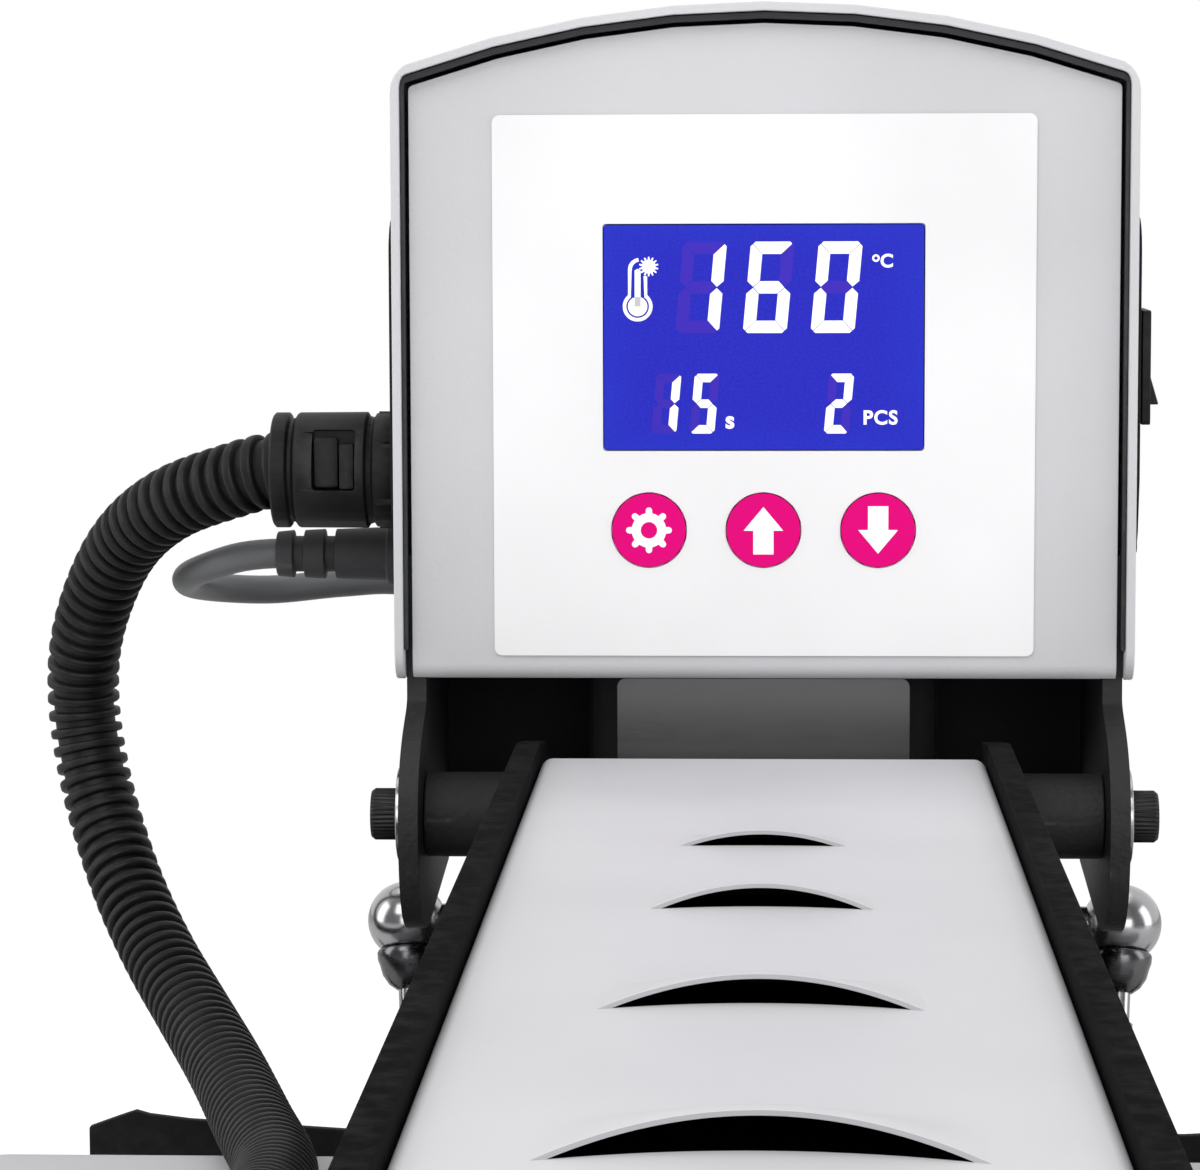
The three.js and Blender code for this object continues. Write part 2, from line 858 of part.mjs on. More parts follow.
function columnSolid() {
  const middle = (column.front + column.rear) / 2;
  const depth = column.rear - column.front;
  const yokeTop = head.floor + panel.sheet + seat + overrun / 2;
  const tubeSpan = [footTop - column.footThickness, yokeTop + overrun / 2];
  const outer = prism(
    roundedRectangle(2 * column.half, depth, column.corner, [0, middle]),
    "z",
    tubeSpan,
  );
  const core = prism(
    roundedRectangle(
      2 * (column.half - column.wall),
      depth - 2 * column.wall,
      column.corner / 2,
      [0, middle],
    ),
    "z",
    [tubeSpan[0] - overrun, tubeSpan[1] + 2 * overrun],
  );
  const recess = prism(
    roundedRectangle(
      2 * column.recessHalf,
      column.recessTop - column.recessLow,
      column.recessCorner,
      [0, (column.recessTop + column.recessLow) / 2],
    ),
    "y",
    [column.front - overrun, column.front + column.recessDepth],
  );
  const foot = cut(
    block(
      [-column.footHalf, column.footHalf],
      [column.front - column.footThickness, backPlate.front - seat],
      [footTop - column.footThickness, footTop],
    ),
    core,
  );
  const top = block(
    [seat - earInner, earInner - seat],
    [column.front, column.rear],
    [yokeTop, yokeTop + column.topPlate],
  );
  const yoke = block(
    [seat - earInner, earInner - seat],
    [column.rear - column.yokeSheet, column.rear],
    [column.yokeLow, yokeTop + column.topPlate / 2],
  );
  const leadHole = disc(
    column.half / 3,
    [yokeTop - overrun, yokeTop + column.topPlate + overrun],
    "z",
    [0, middle, 0],
  );
  const cheeks = sides.flatMap(([, side]) => {
    const link = linkOutline(
      [column.rear - column.half, pivot.height - column.cheekDrop, column.half / 2],
      [0, pivot.height, column.cheekRadius],
    );
    const span = [column.half - overrun / 2, column.half + column.cheek];
    const boss = [column.half, arm.inner - seat];
    const mirrored = ([from, to]) => (side > 0 ? [from, to] : [-to, -from]);
    return [
      prism(link, "x", mirrored(span)),
      disc(column.bossRadius, mirrored(boss), "x", pivotAt),
    ];
  });
  const shaft = disc(shaftBore, [-ear.outer, ear.outer], "x", pivotAt);
  const body = join(cut(outer, recess), foot, yoke, ...cheeks);
  return join(cut(body, core, shaft), cut(top, leadHole));
}

function earOutline() {
  const { neckFront, neckRear, neckTop, lobeRadius, low, rear, corner } = ear;
  const z = (height) => pivot.height + height;
  const shape = new THREE.Shape();
  shape.moveTo(neckFront, z(neckTop));
  shape.lineTo(neckFront, z(1.25 * lobeRadius));
  shape.bezierCurveTo(
    neckFront,
    z(lobeRadius),
    -lobeRadius,
    z(lobeRadius),
    -lobeRadius,
    z(0),
  );
  shape.quadraticCurveTo(-lobeRadius, z(-low), lobeRadius / 3, z(-low));
  shape.lineTo(rear - corner, z(-ear.rearLow));
  shape.quadraticCurveTo(rear, z(-ear.rearLow), rear, z(corner - ear.rearLow));
  shape.lineTo(rear, z(ear.rearTop - corner));
  shape.quadraticCurveTo(rear, z(ear.rearTop), rear - corner, z(ear.rearTop));
  shape.lineTo(neckRear + corner, z(ear.rearTop));
  shape.quadraticCurveTo(neckRear, z(ear.rearTop), neckRear, z(ear.rearTop + corner));
  shape.lineTo(neckRear, z(neckTop));
  shape.closePath();
  return shape;
}

function earGroup() {
  const group = new THREE.Group();
  const shaftEnd = earInner - seat;
  const boltBore = earBolt.shankRadius + seat;
  const washerAt = ear.outer + seat;
  const headAt = washerAt + earWasher.thickness + seat;
  let shaft = disc(pivot.shaftRadius, [-shaftEnd, shaftEnd], "x", pivotAt);
  for (const [name, side] of sides) {
    const span = (from, to) => (side > 0 ? [from, to] : [-to, -from]);
    const plate = prism(earOutline(), "x", span(earInner, ear.outer));
    const bore = disc(boltBore, span(earInner - overrun, ear.outer + overrun), "x", pivotAt);
    shaft = cut(
      shaft,
      disc(boltBore, span(shaftEnd - earBolt.reach - overrun, shaftEnd + overrun), "x", pivotAt),
    );
    const washer = sleeve(
      boltBore,
      earWasher.radius,
      span(washerAt, washerAt + earWasher.thickness),
      "x",
      pivotAt,
    );
    const cap = disc(earBolt.headRadius, span(headAt, headAt + earBolt.headLength), "x", pivotAt);
    const shank = disc(
      earBolt.shankRadius,
      span(shaftEnd - earBolt.reach, headAt + seat),
      "x",
      pivotAt,
      smallSteps,
    );
    const hexagon = disc(
      earBolt.socket,
      span(headAt + earBolt.headLength - earBolt.socketDepth, headAt + 2 * earBolt.headLength),
      "x",
      pivotAt,
      hexagonSides,
    );
    group.add(
      piece("ear_" + name, blackSteel, cut(plate, bore)),
      piece("ear_washer_" + name, chrome, washer),
      piece("ear_bolt_" + name, boltBlack, cut(join(cap, shank), hexagon)),
      piece(
        "shaft_spacer_" + name,
        blackSteel,
        sleeve(shaftBore, spacer.radius, span(armOuter + seat, earInner - seat), "x", pivotAt),
      ),
    );
  }
  group.add(piece("pivot_shaft", zinc, shaft));
  return group;
}

// ---- Lift arms ----

function armOutline() {
  const [top, low] = [pivot.height + arm.topRise, pivot.height - arm.drop];
  const shape = new THREE.Shape();
  shape.moveTo(-arm.shoulder, top);
  shape.lineTo(nose, top);
  shape.quadraticCurveTo(nose - arm.noseRadius, top, nose - arm.noseRadius, pivot.height);
  shape.quadraticCurveTo(nose - arm.noseRadius, low, nose + arm.noseRadius, low);
  shape.lineTo(-arm.hubRadius, low);
  shape.lineTo(0, pivot.height - arm.hubRadius);
  shape.lineTo(0, pivot.height + arm.hubRadius);
  shape.closePath();
  return shape;
}

function armFrame() {
  const tailAt = [tail.back, pivot.height - tail.drop, tail.radius];
  const solids = [];
  for (const [, side] of sides) {
    const span = side > 0 ? [arm.inner, armOuter] : [-armOuter, -arm.inner];
    solids.push(
      prism(armOutline(), "x", span),
      prism(linkOutline([0, pivot.height, arm.hubRadius], tailAt), "x", span),
    );
  }
  const cross = block(
    [-arm.inner - overrun, arm.inner + overrun],
    [-arm.crossFront, -arm.crossRear],
    [crossTop - arm.crossThickness, crossTop],
  );
  for (const reach of hanger.reach) {
    const along = [-reach - hanger.width / 2, -reach + hanger.width / 2];
    solids.push(
      block([-hanger.half, hanger.half], along, [hangerTop - hanger.bridge, hangerTop]),
    );
    for (const [, side] of sides) {
      const leg = [hanger.half - hanger.leg, hanger.half];
      const sole = [hanger.half - hanger.leg - hanger.footLength, hanger.half];
      const mirrored = ([from, to]) => (side > 0 ? [from, to] : [-to, -from]);
      solids.push(
        block(mirrored(leg), along, [footLow, hangerTop]),
        block(mirrored(sole), along, [footLow, footLow + hanger.footThickness]),
        disc(
          hanger.boltHead,
          [footLow, footLow + hanger.footThickness + hanger.boltHeight],
          "z",
          [side * bossX, -reach, 0],
          hexagonSides,
        ),
      );
    }
  }
  const through = [-armOuter - overrun, armOuter + overrun];
  const spindle = disc(
    striker.spindleRadius + seat,
    [crossTop - arm.crossThickness - overrun, crossTop + overrun],
    "z",
    [0, -magnet.reach, 0],
  );
  return cut(
    join(cross, ...solids),
    spindle,
    disc(shaftBore, through, "x", pivotAt),
    disc(handle.barRadius + seat, through, "x", [0, nose, pivot.height]),
  );
}

// A louvre's hood: a dome of the given rise over a skirt sunk into the sheet.
function louvreDome(width, depth, rise, sink) {
  const profile = [
    [0, -sink / rise],
    [1, -sink / rise],
  ];
  const { archAngle, steps } = louvre;
  for (let step = 0; step <= steps; step += 1) {
    const angle = archAngle * (1 - step / steps);
    const height = (Math.cos(angle) - Math.cos(archAngle)) / (1 - Math.cos(archAngle));
    profile.push([Math.sin(angle) / Math.sin(archAngle), height]);
  }
  const geometry = new THREE.LatheGeometry(
    profile.map(([radius, height]) => new THREE.Vector2(radius, height)),
    roundSteps,
  );
  geometry.rotateX(Math.PI / 2);
  return geometry.scale(width / 2, depth, rise);
}

// The crescent mouth of a louvre, between a straight chord and an arc behind it.
function louvreMouth(width, arcDepth, chord) {
  const radius = (width ** 2 / 4 + arcDepth ** 2) / (2 * arcDepth);
  const start = Math.asin((radius - arcDepth) / radius);
  const shape = new THREE.Shape();
  shape.absarc(0, arcDepth - radius - chord, radius, start, Math.PI - start, false);
  shape.closePath();
  return shape;
}

function armCover() {
  const half = arm.inner - seat;
  const low = cover.surface - cover.skirt;
  const length = cover.front - cover.rear;
  const middle = -(cover.front + cover.rear) / 2;
  const outer = roundedRectangle(2 * half, length, cover.corner, [0, middle]);
  const inner = roundedRectangle(
    2 * (half - cover.sheet),
    length - 2 * cover.sheet,
    cover.corner / 2,
    [0, middle],
  );
  let sheet = cut(
    prism(outer, "z", [low, cover.surface]),
    prism(inner, "z", [low - overrun, cover.surface - cover.sheet]),
  );
  louvre.chords.forEach((chord, index) => {
    const [width, rise] = [louvre.widths[index], louvre.rises[index]];
    const depth = width * louvre.depthShare;
    const inside = rise - cover.sheet;
    const shrink = Math.sqrt(inside / rise); // where the hood's inner face meets the sheet
    const at = [0, -chord, cover.surface];
    const shell = louvreDome(width, depth, rise, cover.sheet / 2);
    const hollow = louvreDome(
      width * shrink,
      depth * shrink,
      inside,
      cover.sheet + overrun,
    );
    const behind = block(
      [-width, width],
      [-chord, -chord + 2 * depth],
      [low - overrun, cover.surface + 2 * rise],
    );
    const mouth = prism(
      louvreMouth(width * louvre.mouthShare, width * louvre.arcShare, chord),
      "z",
      [cover.surface - cover.sheet - overrun, cover.surface + 2 * rise],
    );
    sheet = sheet.add(common(solidOf(shell.translate(...at)), behind));
    sheet = sheet.subtract(common(solidOf(hollow.translate(...at)), behind));
    sheet = sheet.subtract(mouth);
  });
  return sheet;
}

function gripSolid() {
  const end = arm.inner - seat;
  const { noseRadius: full } = arm;
  const { gripWaist: waist, barRadius } = handle;
  const bore = barRadius + seat;
  return turned(
    [
      [bore, -end],
      [waist, -end],
      [full, -end * 0.8],
      [waist, -end * 0.45],
      [full - seat, 0],
      [waist, end * 0.45],
      [full, end * 0.8],
      [waist, end],
      [bore, end],
      [bore, -end],
    ],
    "x",
    [0, nose, pivot.height],
  );
}

function ballStud(side) {
  const { radius, middle, neckRadius, neckLength } = ball;
  const flat = Math.asin(neckRadius / radius);
  const profile = [
    [0, armOuter + seat],
    [2 * neckRadius, armOuter + seat],
    [2 * neckRadius, middle - radius - neckLength],
    [neckRadius, middle - radius - neckLength + neckRadius],
  ];
  for (let step = 0; step <= smallSteps; step += 1) {
    const angle = flat + ((Math.PI - flat) * step) / smallSteps;
    profile.push([radius * Math.sin(angle), middle - radius * Math.cos(angle)]);
  }
  profile[profile.length - 1][0] = 0;
  const place = [0, tail.back, pivot.height - tail.drop];
  const right = turned(profile, "x", place);
  return side > 0 ? right : right.mirror([1, 0, 0]);
}

function armGroup() {
  const group = new THREE.Group();
  const barEnd = armOuter + handle.endLength;
  const barAt = [0, nose, pivot.height];
  const collars = sides.map(([, side]) => {
    const span = [armOuter + seat, barEnd];
    return disc(handle.endRadius, side > 0 ? span : span.map((x) => -x).reverse(), "x", barAt);
  });
  const bar = disc(handle.barRadius, [seat - barEnd, barEnd - seat], "x", barAt);
  group.add(
    piece("arm_frame", blackSteel, armFrame()),
    piece("arm_cover", hoodGrey, armCover()),
    piece("handle_bar", zinc, join(bar, ...collars)),
    piece("handle_grip", rubber, gripSolid()),
  );
  for (const [name, side] of sides) {
    group.add(piece("ball_stud_" + name, chrome, ballStud(side)));
  }
  return group;
}

// ---- Heating platen and its terminal box ----

const bossPlaces = hanger.reach.flatMap((reach) =>
  sides.map(([, side]) => [side * bossX, -reach, 0]),
);

function platenCover() {
  const { side, coverTop, coverSheet, coverLow, coverEdge, coverCorner } = platen;
  const middle = [0, platenMiddle];
  const edge = side - 2 * coverEdge;
  const outline = roundedRectangle(edge, edge, coverCorner - coverEdge, middle);
  const geometry = new THREE.ExtrudeGeometry(outline, {
    depth: coverTop - coverLow - coverEdge,
    bevelEnabled: true,
    bevelThickness: coverEdge,
    bevelSize: coverEdge,
    bevelSegments: 2,
    curveSegments: cornerSteps,
  });
  const crowned = solidOf(geometry.translate(0, 0, coverLow));
  const skirt = block(
    [-side, side],
    [platenMiddle - side, platenMiddle + side],
    [coverLow - 2 * coverEdge, coverLow],
  );
  const inside = side - 2 * coverSheet;
  const hollow = prism(
    roundedRectangle(inside, inside, coverCorner - coverSheet, middle),
    "z",
    [coverLow - overrun, coverTop - coverSheet],
  );
  return cut(crowned, skirt, hollow);
}

function heatingPlaten() {
  const { plateSide, plateThickness, plateLow, bossRadius, coverCorner } = platen;
  const top = plateLow + plateThickness;
  const plate = prism(
    roundedRectangle(plateSide, plateSide, coverCorner, [0, platenMiddle]),
    "z",
    [plateLow, top],
  );
  const bossTop = platen.coverTop - platen.coverSheet - seat;
  const bosses = bossPlaces.map((place) =>
    disc(bossRadius, [top - overrun, bossTop], "z", place, smallSteps),
  );
  return join(plate, ...bosses);
}

function insulation() {
  const low = platen.plateLow + platen.plateThickness + seat;
  const sheet = prism(
    roundedRectangle(pad.side, pad.side, pad.corner, [0, platenMiddle]),
    "z",
    [low, platen.insulationTop],
  );
  const holes = bossPlaces.map((place) =>
    disc(
      platen.bossRadius + seat,
      [low - overrun, platen.insulationTop + overrun],
      "z",
      place,
      smallSteps,
    ),
  );
  return cut(sheet, ...holes);
}

function terminalBox() {
  const { near, far, left, right, top } = terminal;
  const low = platen.coverTop + seat;
  const wall = platen.coverSheet;
  const middle = [(left + right) / 2, -(near + far) / 2];
  const outer = roundedRectangle(right - left, far - near, cover.corner, middle);
  const inner = roundedRectangle(
    right - left - 2 * wall,
    far - near - 2 * wall,
    cover.corner / 2,
    middle,
  );
  const inlet = disc(
    hose.boreRadius,
    [-near - 2 * wall, -near + overrun],
    "y",
    [endGland.x, 0, endGland.height],
  );
  return cut(
    prism(outer, "z", [low, top]),
    prism(inner, "z", [low - overrun, top - wall]),
    inlet,
  );
}

function endGlandSolid() {
  const from = -terminal.near + seat;
  const { radius, length, bore } = endGland;
  return turned(
    [
      [bore, from],
      [radius, from],
      [radius, from + length / 3],
      [radius - 1.2 * seat, from + length / 2],
      [radius, from + length - seat],
      [bore + seat, from + length],
      [bore, from + length - seat],
      [bore, from],
    ],
    "y",
    [endGland.x, 0, endGland.height],
  );
}

function platenGroup() {
  const group = new THREE.Group();
  group.add(
    piece("platen_cover", hoodGrey, platenCover()),
    piece("heating_platen", aluminium, heatingPlaten()),
    piece("platen_insulation", fibre, insulation()),
    piece("terminal_box", blackSteel, terminalBox()),
    piece("terminal_gland", blackPlastic, endGlandSolid()),
  );
  return group;
}

// ---- Pressure latch at the front ----

function latchGroup() {
  const group = new THREE.Group();
  const at = [0, -magnet.reach, 0];
  const low = magnet.top - magnet.height;
  const groove = sleeve(
    magnet.radius * 0.55,
    magnet.radius * 0.72,
    [magnet.top - magnet.recess, magnet.top + overrun],
    "z",
    at,
  );
  const plateLow = magnet.top + seat;
  const plateTop = plateLow + striker.thickness;
  const spindleTop = crossTop + seat + knob.height - striker.travel;
  const plate = turned(
    [
      [0, plateLow],
      [striker.radius - seat, plateLow],
      [striker.radius, plateLow + seat],
      [striker.radius, plateTop - seat],
      [striker.radius - seat, plateTop],
      [striker.spindleRadius, plateTop],
      [striker.spindleRadius, spindleTop],
      [0, spindleTop],
    ],
    "z",
    at,
  );
  const knobLow = crossTop + seat;
  const knobTop = knobLow + knob.height;
  const round = turned(
    [
      [striker.spindleRadius + seat, knobLow],
      [knob.radius - knob.fluteRadius, knobLow],
      [knob.radius, knobLow + knob.fluteRadius],
      [knob.radius, knobTop - knob.fluteRadius],
      [knob.radius - knob.fluteRadius, knobTop],
      [striker.spindleRadius + seat, knobTop],
      [striker.spindleRadius + seat, knobLow],
    ],
    "z",
    at,
    2 * knob.flutes,
  );
  const flutes = Array.from({ length: knob.flutes }, (_, index) => {
    const angle = (2 * Math.PI * (index + 0.5)) / knob.flutes;
    const place = [
      knob.radius * Math.cos(angle),
      knob.radius * Math.sin(angle) - magnet.reach,
      0,
    ];
    return disc(
      knob.fluteRadius,
      [knobLow - overrun, knobTop + overrun],
      "z",
      place,
      smallSteps,
    );
  });
  group.add(
    piece("electromagnet", zinc, cut(disc(magnet.radius, [low, magnet.top], "z", at), groove)),
    piece("striker_plate", zinc, plate),
    piece("pressure_knob", blackPlastic, cut(round, ...flutes)),
  );
  return group;
}

// ---- Base, lower platen and feet ----

function baseFrame() {
  const { railMiddle, railWidth, railLow, railTop, front, corner, crossWidth } = base;
  const railHeight = railTop - railLow;
  const railZ = (railTop + railLow) / 2;
  const span = [-front, rearReach];
  const outer = railMiddle + railWidth / 2;
  const solids = [];
  // The rails are square tubes, open at the rear, and the crosses channels.
  const { wall } = base;
  const clear = railWidth - 2 * wall;
  for (const [, side] of sides) {
    const middle = [side * railMiddle, railZ];
    solids.push(
      cut(
        prism(roundedRectangle(railWidth, railHeight, corner, middle), "y", span),
        block(
          [side * railMiddle - clear / 2, side * railMiddle + clear / 2],
          [wall - front, rearReach + overrun],
          [railLow + wall, railTop - wall],
        ),
      ),
    );
  }
  const railInner = railMiddle - railWidth / 2;
  const crosses = [
    [-front, -front + 2 * crossWidth - corner],
    [-crossWidth / 2, crossWidth / 2],
    [rearReach - 1.5 * crossWidth, rearReach],
  ];
  for (const [from, to] of crosses) {
    const ends = [-railInner - wall / 2, railInner + wall / 2];
    const hollow = [-railInner, railInner];
    solids.push(
      cut(
        prism(
          roundedRectangle(to - from, railHeight, corner, [(from + to) / 2, railZ]),
          "x",
          ends,
        ),
        block(hollow, [from + wall, to - wall], [railLow - overrun, railTop - wall]),
      ),
    );
  }
  for (const reach of base.saddles) {
    const along = [-reach - base.saddleWidth / 2, -reach + base.saddleWidth / 2];
    const arch = block([-outer, outer], along, [railTop - overrun, saddleTop]);
    const under = block(
      [base.saddleSheet - outer + railWidth / 2, outer - railWidth / 2 - base.saddleSheet],
      [along[0] - overrun, along[1] + overrun],
      [railTop - 2 * overrun, saddleTop - base.saddleSheet],
    );
    solids.push(cut(arch, under));
  }
  // Post of the electromagnet.
  const { postHalf, reach } = magnet;
  solids.push(
    prism(
      roundedRectangle(2 * postHalf, 2 * postHalf, corner, [0, -reach]),
      "z",
      [railTop - overrun, magnet.top - magnet.height - seat],
    ),
  );
  // Lugs and pins of the gas struts.
  for (const [, side] of sides) {
    const lugOuter = strut.baseX - strut.eyeRadius / 2 - seat;
    const span = ([from, to]) => (side > 0 ? [from, to] : [-to, -from]);
    solids.push(
      prism(
        linkOutline(
          [0, railTop, 1.6 * strut.eyeRadius],
          [0, base.strutSeat, strut.eyeRadius],
        ),
        "x",
        span([lugOuter - strut.lug, lugOuter]),
      ),
      disc(
        strut.pinRadius,
        span([lugOuter - overrun, strut.baseX + strut.eyeRadius]),
        "x",
        [0, 0, base.strutSeat],
        smallSteps,
      ),
    );
  }
  return join(...solids);
}

function lowerPlatenSolid() {
  const { side, thickness, rib, ribPitch, skin } = lowerPlaten;
  const plate = prism(
    roundedRectangle(side, side, pad.corner, [0, platenMiddle]),
    "z",
    [lowerLow, lowerTop],
  );
  const count = Math.floor(side / ribPitch);
  const pocketHalf = (ribPitch - rib) / 2;
  const pockets = [];
  for (let row = 0; row < count; row += 1) {
    for (let place = 0; place < count; place += 1) {
      const x = (place - (count - 1) / 2) * ribPitch;
      const y = platenMiddle + (row - (count - 1) / 2) * ribPitch;
      pockets.push(
        block(
          [x - pocketHalf, x + pocketHalf],
          [y - pocketHalf, y + pocketHalf],
          [lowerLow - overrun, lowerLow + thickness - skin],
        ),
      );
    }
  }
  return cut(plate, ...pockets);
}

function baseGroup() {
  const group = new THREE.Group();
  const padShape = roundedRectangle(pad.side, pad.side, pad.corner, [0, platenMiddle]);
  group.add(
    piece("base_frame", blackSteel, baseFrame()),
    piece("lower_platen", aluminium, lowerPlatenSolid()),
    piece("silicone_pad", silicone, prism(padShape, "z", [padLow, padTop])),
  );
  const footHeight = base.railLow - seat;
  const profile = [
    [0, 0],
    [foot.radius * 0.8, 0],
    [foot.radius, footHeight * 0.2],
    [foot.radius, footHeight * 0.5],
    [foot.neck, footHeight],
    [0, footHeight],
  ];
  const rows = [
    ["front", -base.front + foot.inset],
    ["rear", rearReach - foot.inset],
  ];
  for (const [row, y] of rows) {
    for (const [name, side] of sides) {
      const solid = turned(profile, "z", [side * base.railMiddle, y, 0]);
      group.add(piece("foot_" + row + "_" + name, rubber, solid));
    }
  }
  return group;
}

// A shallow rear plate with raised shoulders, between the base and the column.
function backPlateSolid() {
  const low = base.railTop + seat;
  const shape = new THREE.Shape();
  const outline = [
    ...backPlate.outlineShares,
    ...backPlate.outlineShares.map(([x, z]) => [-x, z]).reverse(),
  ];
  outline.forEach(([x, z], index) => {
    const point = [x * backPlate.half, low + z * backPlate.height];
    if (index === 0) shape.moveTo(...point);
    else shape.lineTo(...point);
  });
  shape.closePath();
  return prism(shape, "y", [backPlate.front, backPlate.front + backPlate.sheet]);
}

// ---- Gas struts ----

function strutPair(name, side) {
  const low = new THREE.Vector3(side * strut.baseX, 0, base.strutSeat);
  const high = new THREE.Vector3(side * ball.middle, tail.back, pivot.height - tail.drop);
  const along = high.clone().sub(low).normalize();
  const turn = new THREE.Quaternion().setFromUnitVectors(new THREE.Vector3(0, 1, 0), along);
  const bottom = strut.eyeRadius;
  const tube = turned(
    [
      [0, bottom / 2],
      [bottom / 2 - seat, bottom / 2],
      [bottom / 2 - seat, bottom + overrun],
      [strut.tubeRadius, bottom + 2 * overrun],
      [strut.tubeRadius, strut.tubeLength],
      [strut.bore, strut.tubeLength],
      [strut.bore, bottom + strut.rodRadius],
      [0, bottom + strut.rodRadius],
    ],
    "y",
  );
  // The eye's bore runs along X in the tube's own frame.
  const halfEye = strut.eyeRadius / 2;
  const eyeAxis = new THREE.Quaternion()
    .setFromUnitVectors(new THREE.Vector3(1, 0, 0), new THREE.Vector3(1, 0, 0))
    .premultiply(turn.clone().invert());
  const eye = geometryOf(sleeve(
    strut.pinRadius + 2 * seat,
    strut.eyeRadius,
    [-halfEye, halfEye],
    "x",
  )).applyQuaternion(eyeAxis);
  const pinWay = geometryOf(disc(
    strut.pinRadius + 2 * seat,
    [-strut.eyeRadius, strut.eyeRadius],
    "x",
  )).applyQuaternion(eyeAxis);
  const tubeMesh = piece(
    "strut_tube_" + name,
    blackSteel,
    cut(join(tube, solidOf(eye)), solidOf(pinWay)),
  );
  tubeMesh.position.copy(low);
  tubeMesh.quaternion.copy(turn);

  // The rod's cup opens towards the ball; its frame starts at the ball's middle.
  const { cupRadius, cupDepth, rodRadius, rodLength } = strut;
  const hollow = ball.radius + 2 * seat;
  const lip = hollow * 0.6;
  const profile = [
    [0, -rodLength],
    [rodRadius, -rodLength],
    [rodRadius, -cupDepth - 2 * rodRadius],
    [rodRadius * 1.5, -cupDepth - rodRadius],
    [cupRadius * 0.7, -cupDepth],
    [cupRadius, -cupDepth * 0.66],
    [cupRadius, -cupDepth * 0.5],
    [cupRadius - 3 * seat, -cupDepth * 0.45],
    [cupRadius - 3 * seat, -cupDepth * 0.38],
    [cupRadius, -cupDepth * 0.33],
    [cupRadius, -lip],
  ];
  const open = Math.acos(lip / hollow);
  for (let step = 0; step <= cornerSteps; step += 1) {
    const angle = open * (1 - step / cornerSteps);
    profile.push([hollow * Math.sin(angle), -hollow * Math.cos(angle)]);
  }
  profile[profile.length - 1][0] = 0;
  const rodMesh = piece("strut_rod_" + name, chrome, turned(profile, "y"));
  rodMesh.position.copy(high);
  rodMesh.quaternion.copy(turn);
  return [tubeMesh, rodMesh];
}

// ---- Glands, switch and mains entry ----

function headGland() {
  const { radius, collar, collarLength, length, bore } = gland;
  const from = plateOuter + seat;
  const to = from + length;
  const body = turned(
    [
      [bore, -to],
      [collar - collarLength / 4, -to],
      [collar, seat - to + collarLength / 4],
      [collar, collarLength - to],
      [radius, 1.3 * collarLength - to],
      [radius, -from],
      [bore, -from],
      [bore, -to],
    ],
    "x",
    [0, gland.back, gland.height],
  );
  const middle = -(from + to) / 2;
  const window = (shrink, depth) =>
    block(
      [middle - gland.latch / 2 + shrink, middle + gland.latch / 2 - shrink],
      [gland.back - 2 * radius, gland.back - radius + depth],
      [
        gland.height - gland.latchHeight / 2 + shrink,
        gland.height + gland.latchHeight / 2 - shrink,
      ],
    );
  const frame = cut(window(0, gland.latchDepth * 1.6), window(gland.latchDepth, 3 * radius));
  return cut(body, frame);
}

function strainRelief() {
  const { back, height, radius, tip, length, groove, grooveDepth, grooves } = relief;
  const from = plateOuter + seat;
  const bore = cord.radius + 2 * seat;
  const profile = [[bore, -from - length]];
  const pitch = length / (grooves + 1);
  const radiusAt = (place) => tip + ((radius - tip) * (length - place)) / length;
  profile.push([radiusAt(length), -from - length]);
  for (let index = grooves; index > 0; index -= 1) {
    const place = index * pitch;
    profile.push(
      [radiusAt(place + groove / 2), -from - place - groove / 2],
      [radiusAt(place) - grooveDepth, -from - place - groove / 2 + seat],
      [radiusAt(place) - grooveDepth, -from - place + groove / 2 - seat],
      [radiusAt(place - groove / 2), -from - place + groove / 2],
    );
  }
  profile.push([radius, -from], [bore, -from], [bore, -from - length]);
  return turned(profile, "x", [0, back, height]);
}

function switchGroup() {
  const group = new THREE.Group();
  const { back, middle, width, height, bezel, frame, depth, crown } = rocker;
  const from = plateOuter + seat;
  const rect = (w, h, corner = bezel / 2) =>
    roundedRectangle(w, h, corner, [back, middle]);
  const flange = prism(rect(width + 2 * bezel, height + 2 * bezel), "x", [from, from + bezel]);
  const body = prism(rect(width - 2 * seat, height - 2 * seat), "x", [from - depth, from + seat]);
  const well = prism(
    rect(width - 2 * frame + 2 * seat, height - 2 * frame + 2 * seat, seat),
    "x",
    [from - depth + bezel, from + 2 * bezel],
  );
  const key = new THREE.Shape();
  const half = height / 2 - frame - 2 * seat;
  const face = from + bezel;
  // Section of the rocker in X and Z, pressed in at its upper end.
  key.moveTo(face - crown, -half);
  key.lineTo(face + crown * 0.7, -half);
  key.quadraticCurveTo(face - crown * 0.5, 0, face - crown * 0.1, half);
  key.lineTo(face - crown, half);
  key.quadraticCurveTo(face - 2 * crown, 0, face - crown, -half);
  const rockerSolid = prism(key, "y", [
    back - width / 2 + frame,
    back + width / 2 - frame,
  ]);
  const rockerMesh = piece("rocker_key", blackPlastic, rockerSolid);
  rockerMesh.position.z = middle;
  group.add(
    piece("switch_body", blackPlastic, cut(join(flange, body), well)),
    rockerMesh,
  );
  return group;
}

// ---- Conduit hose, mains lead and its coil ----

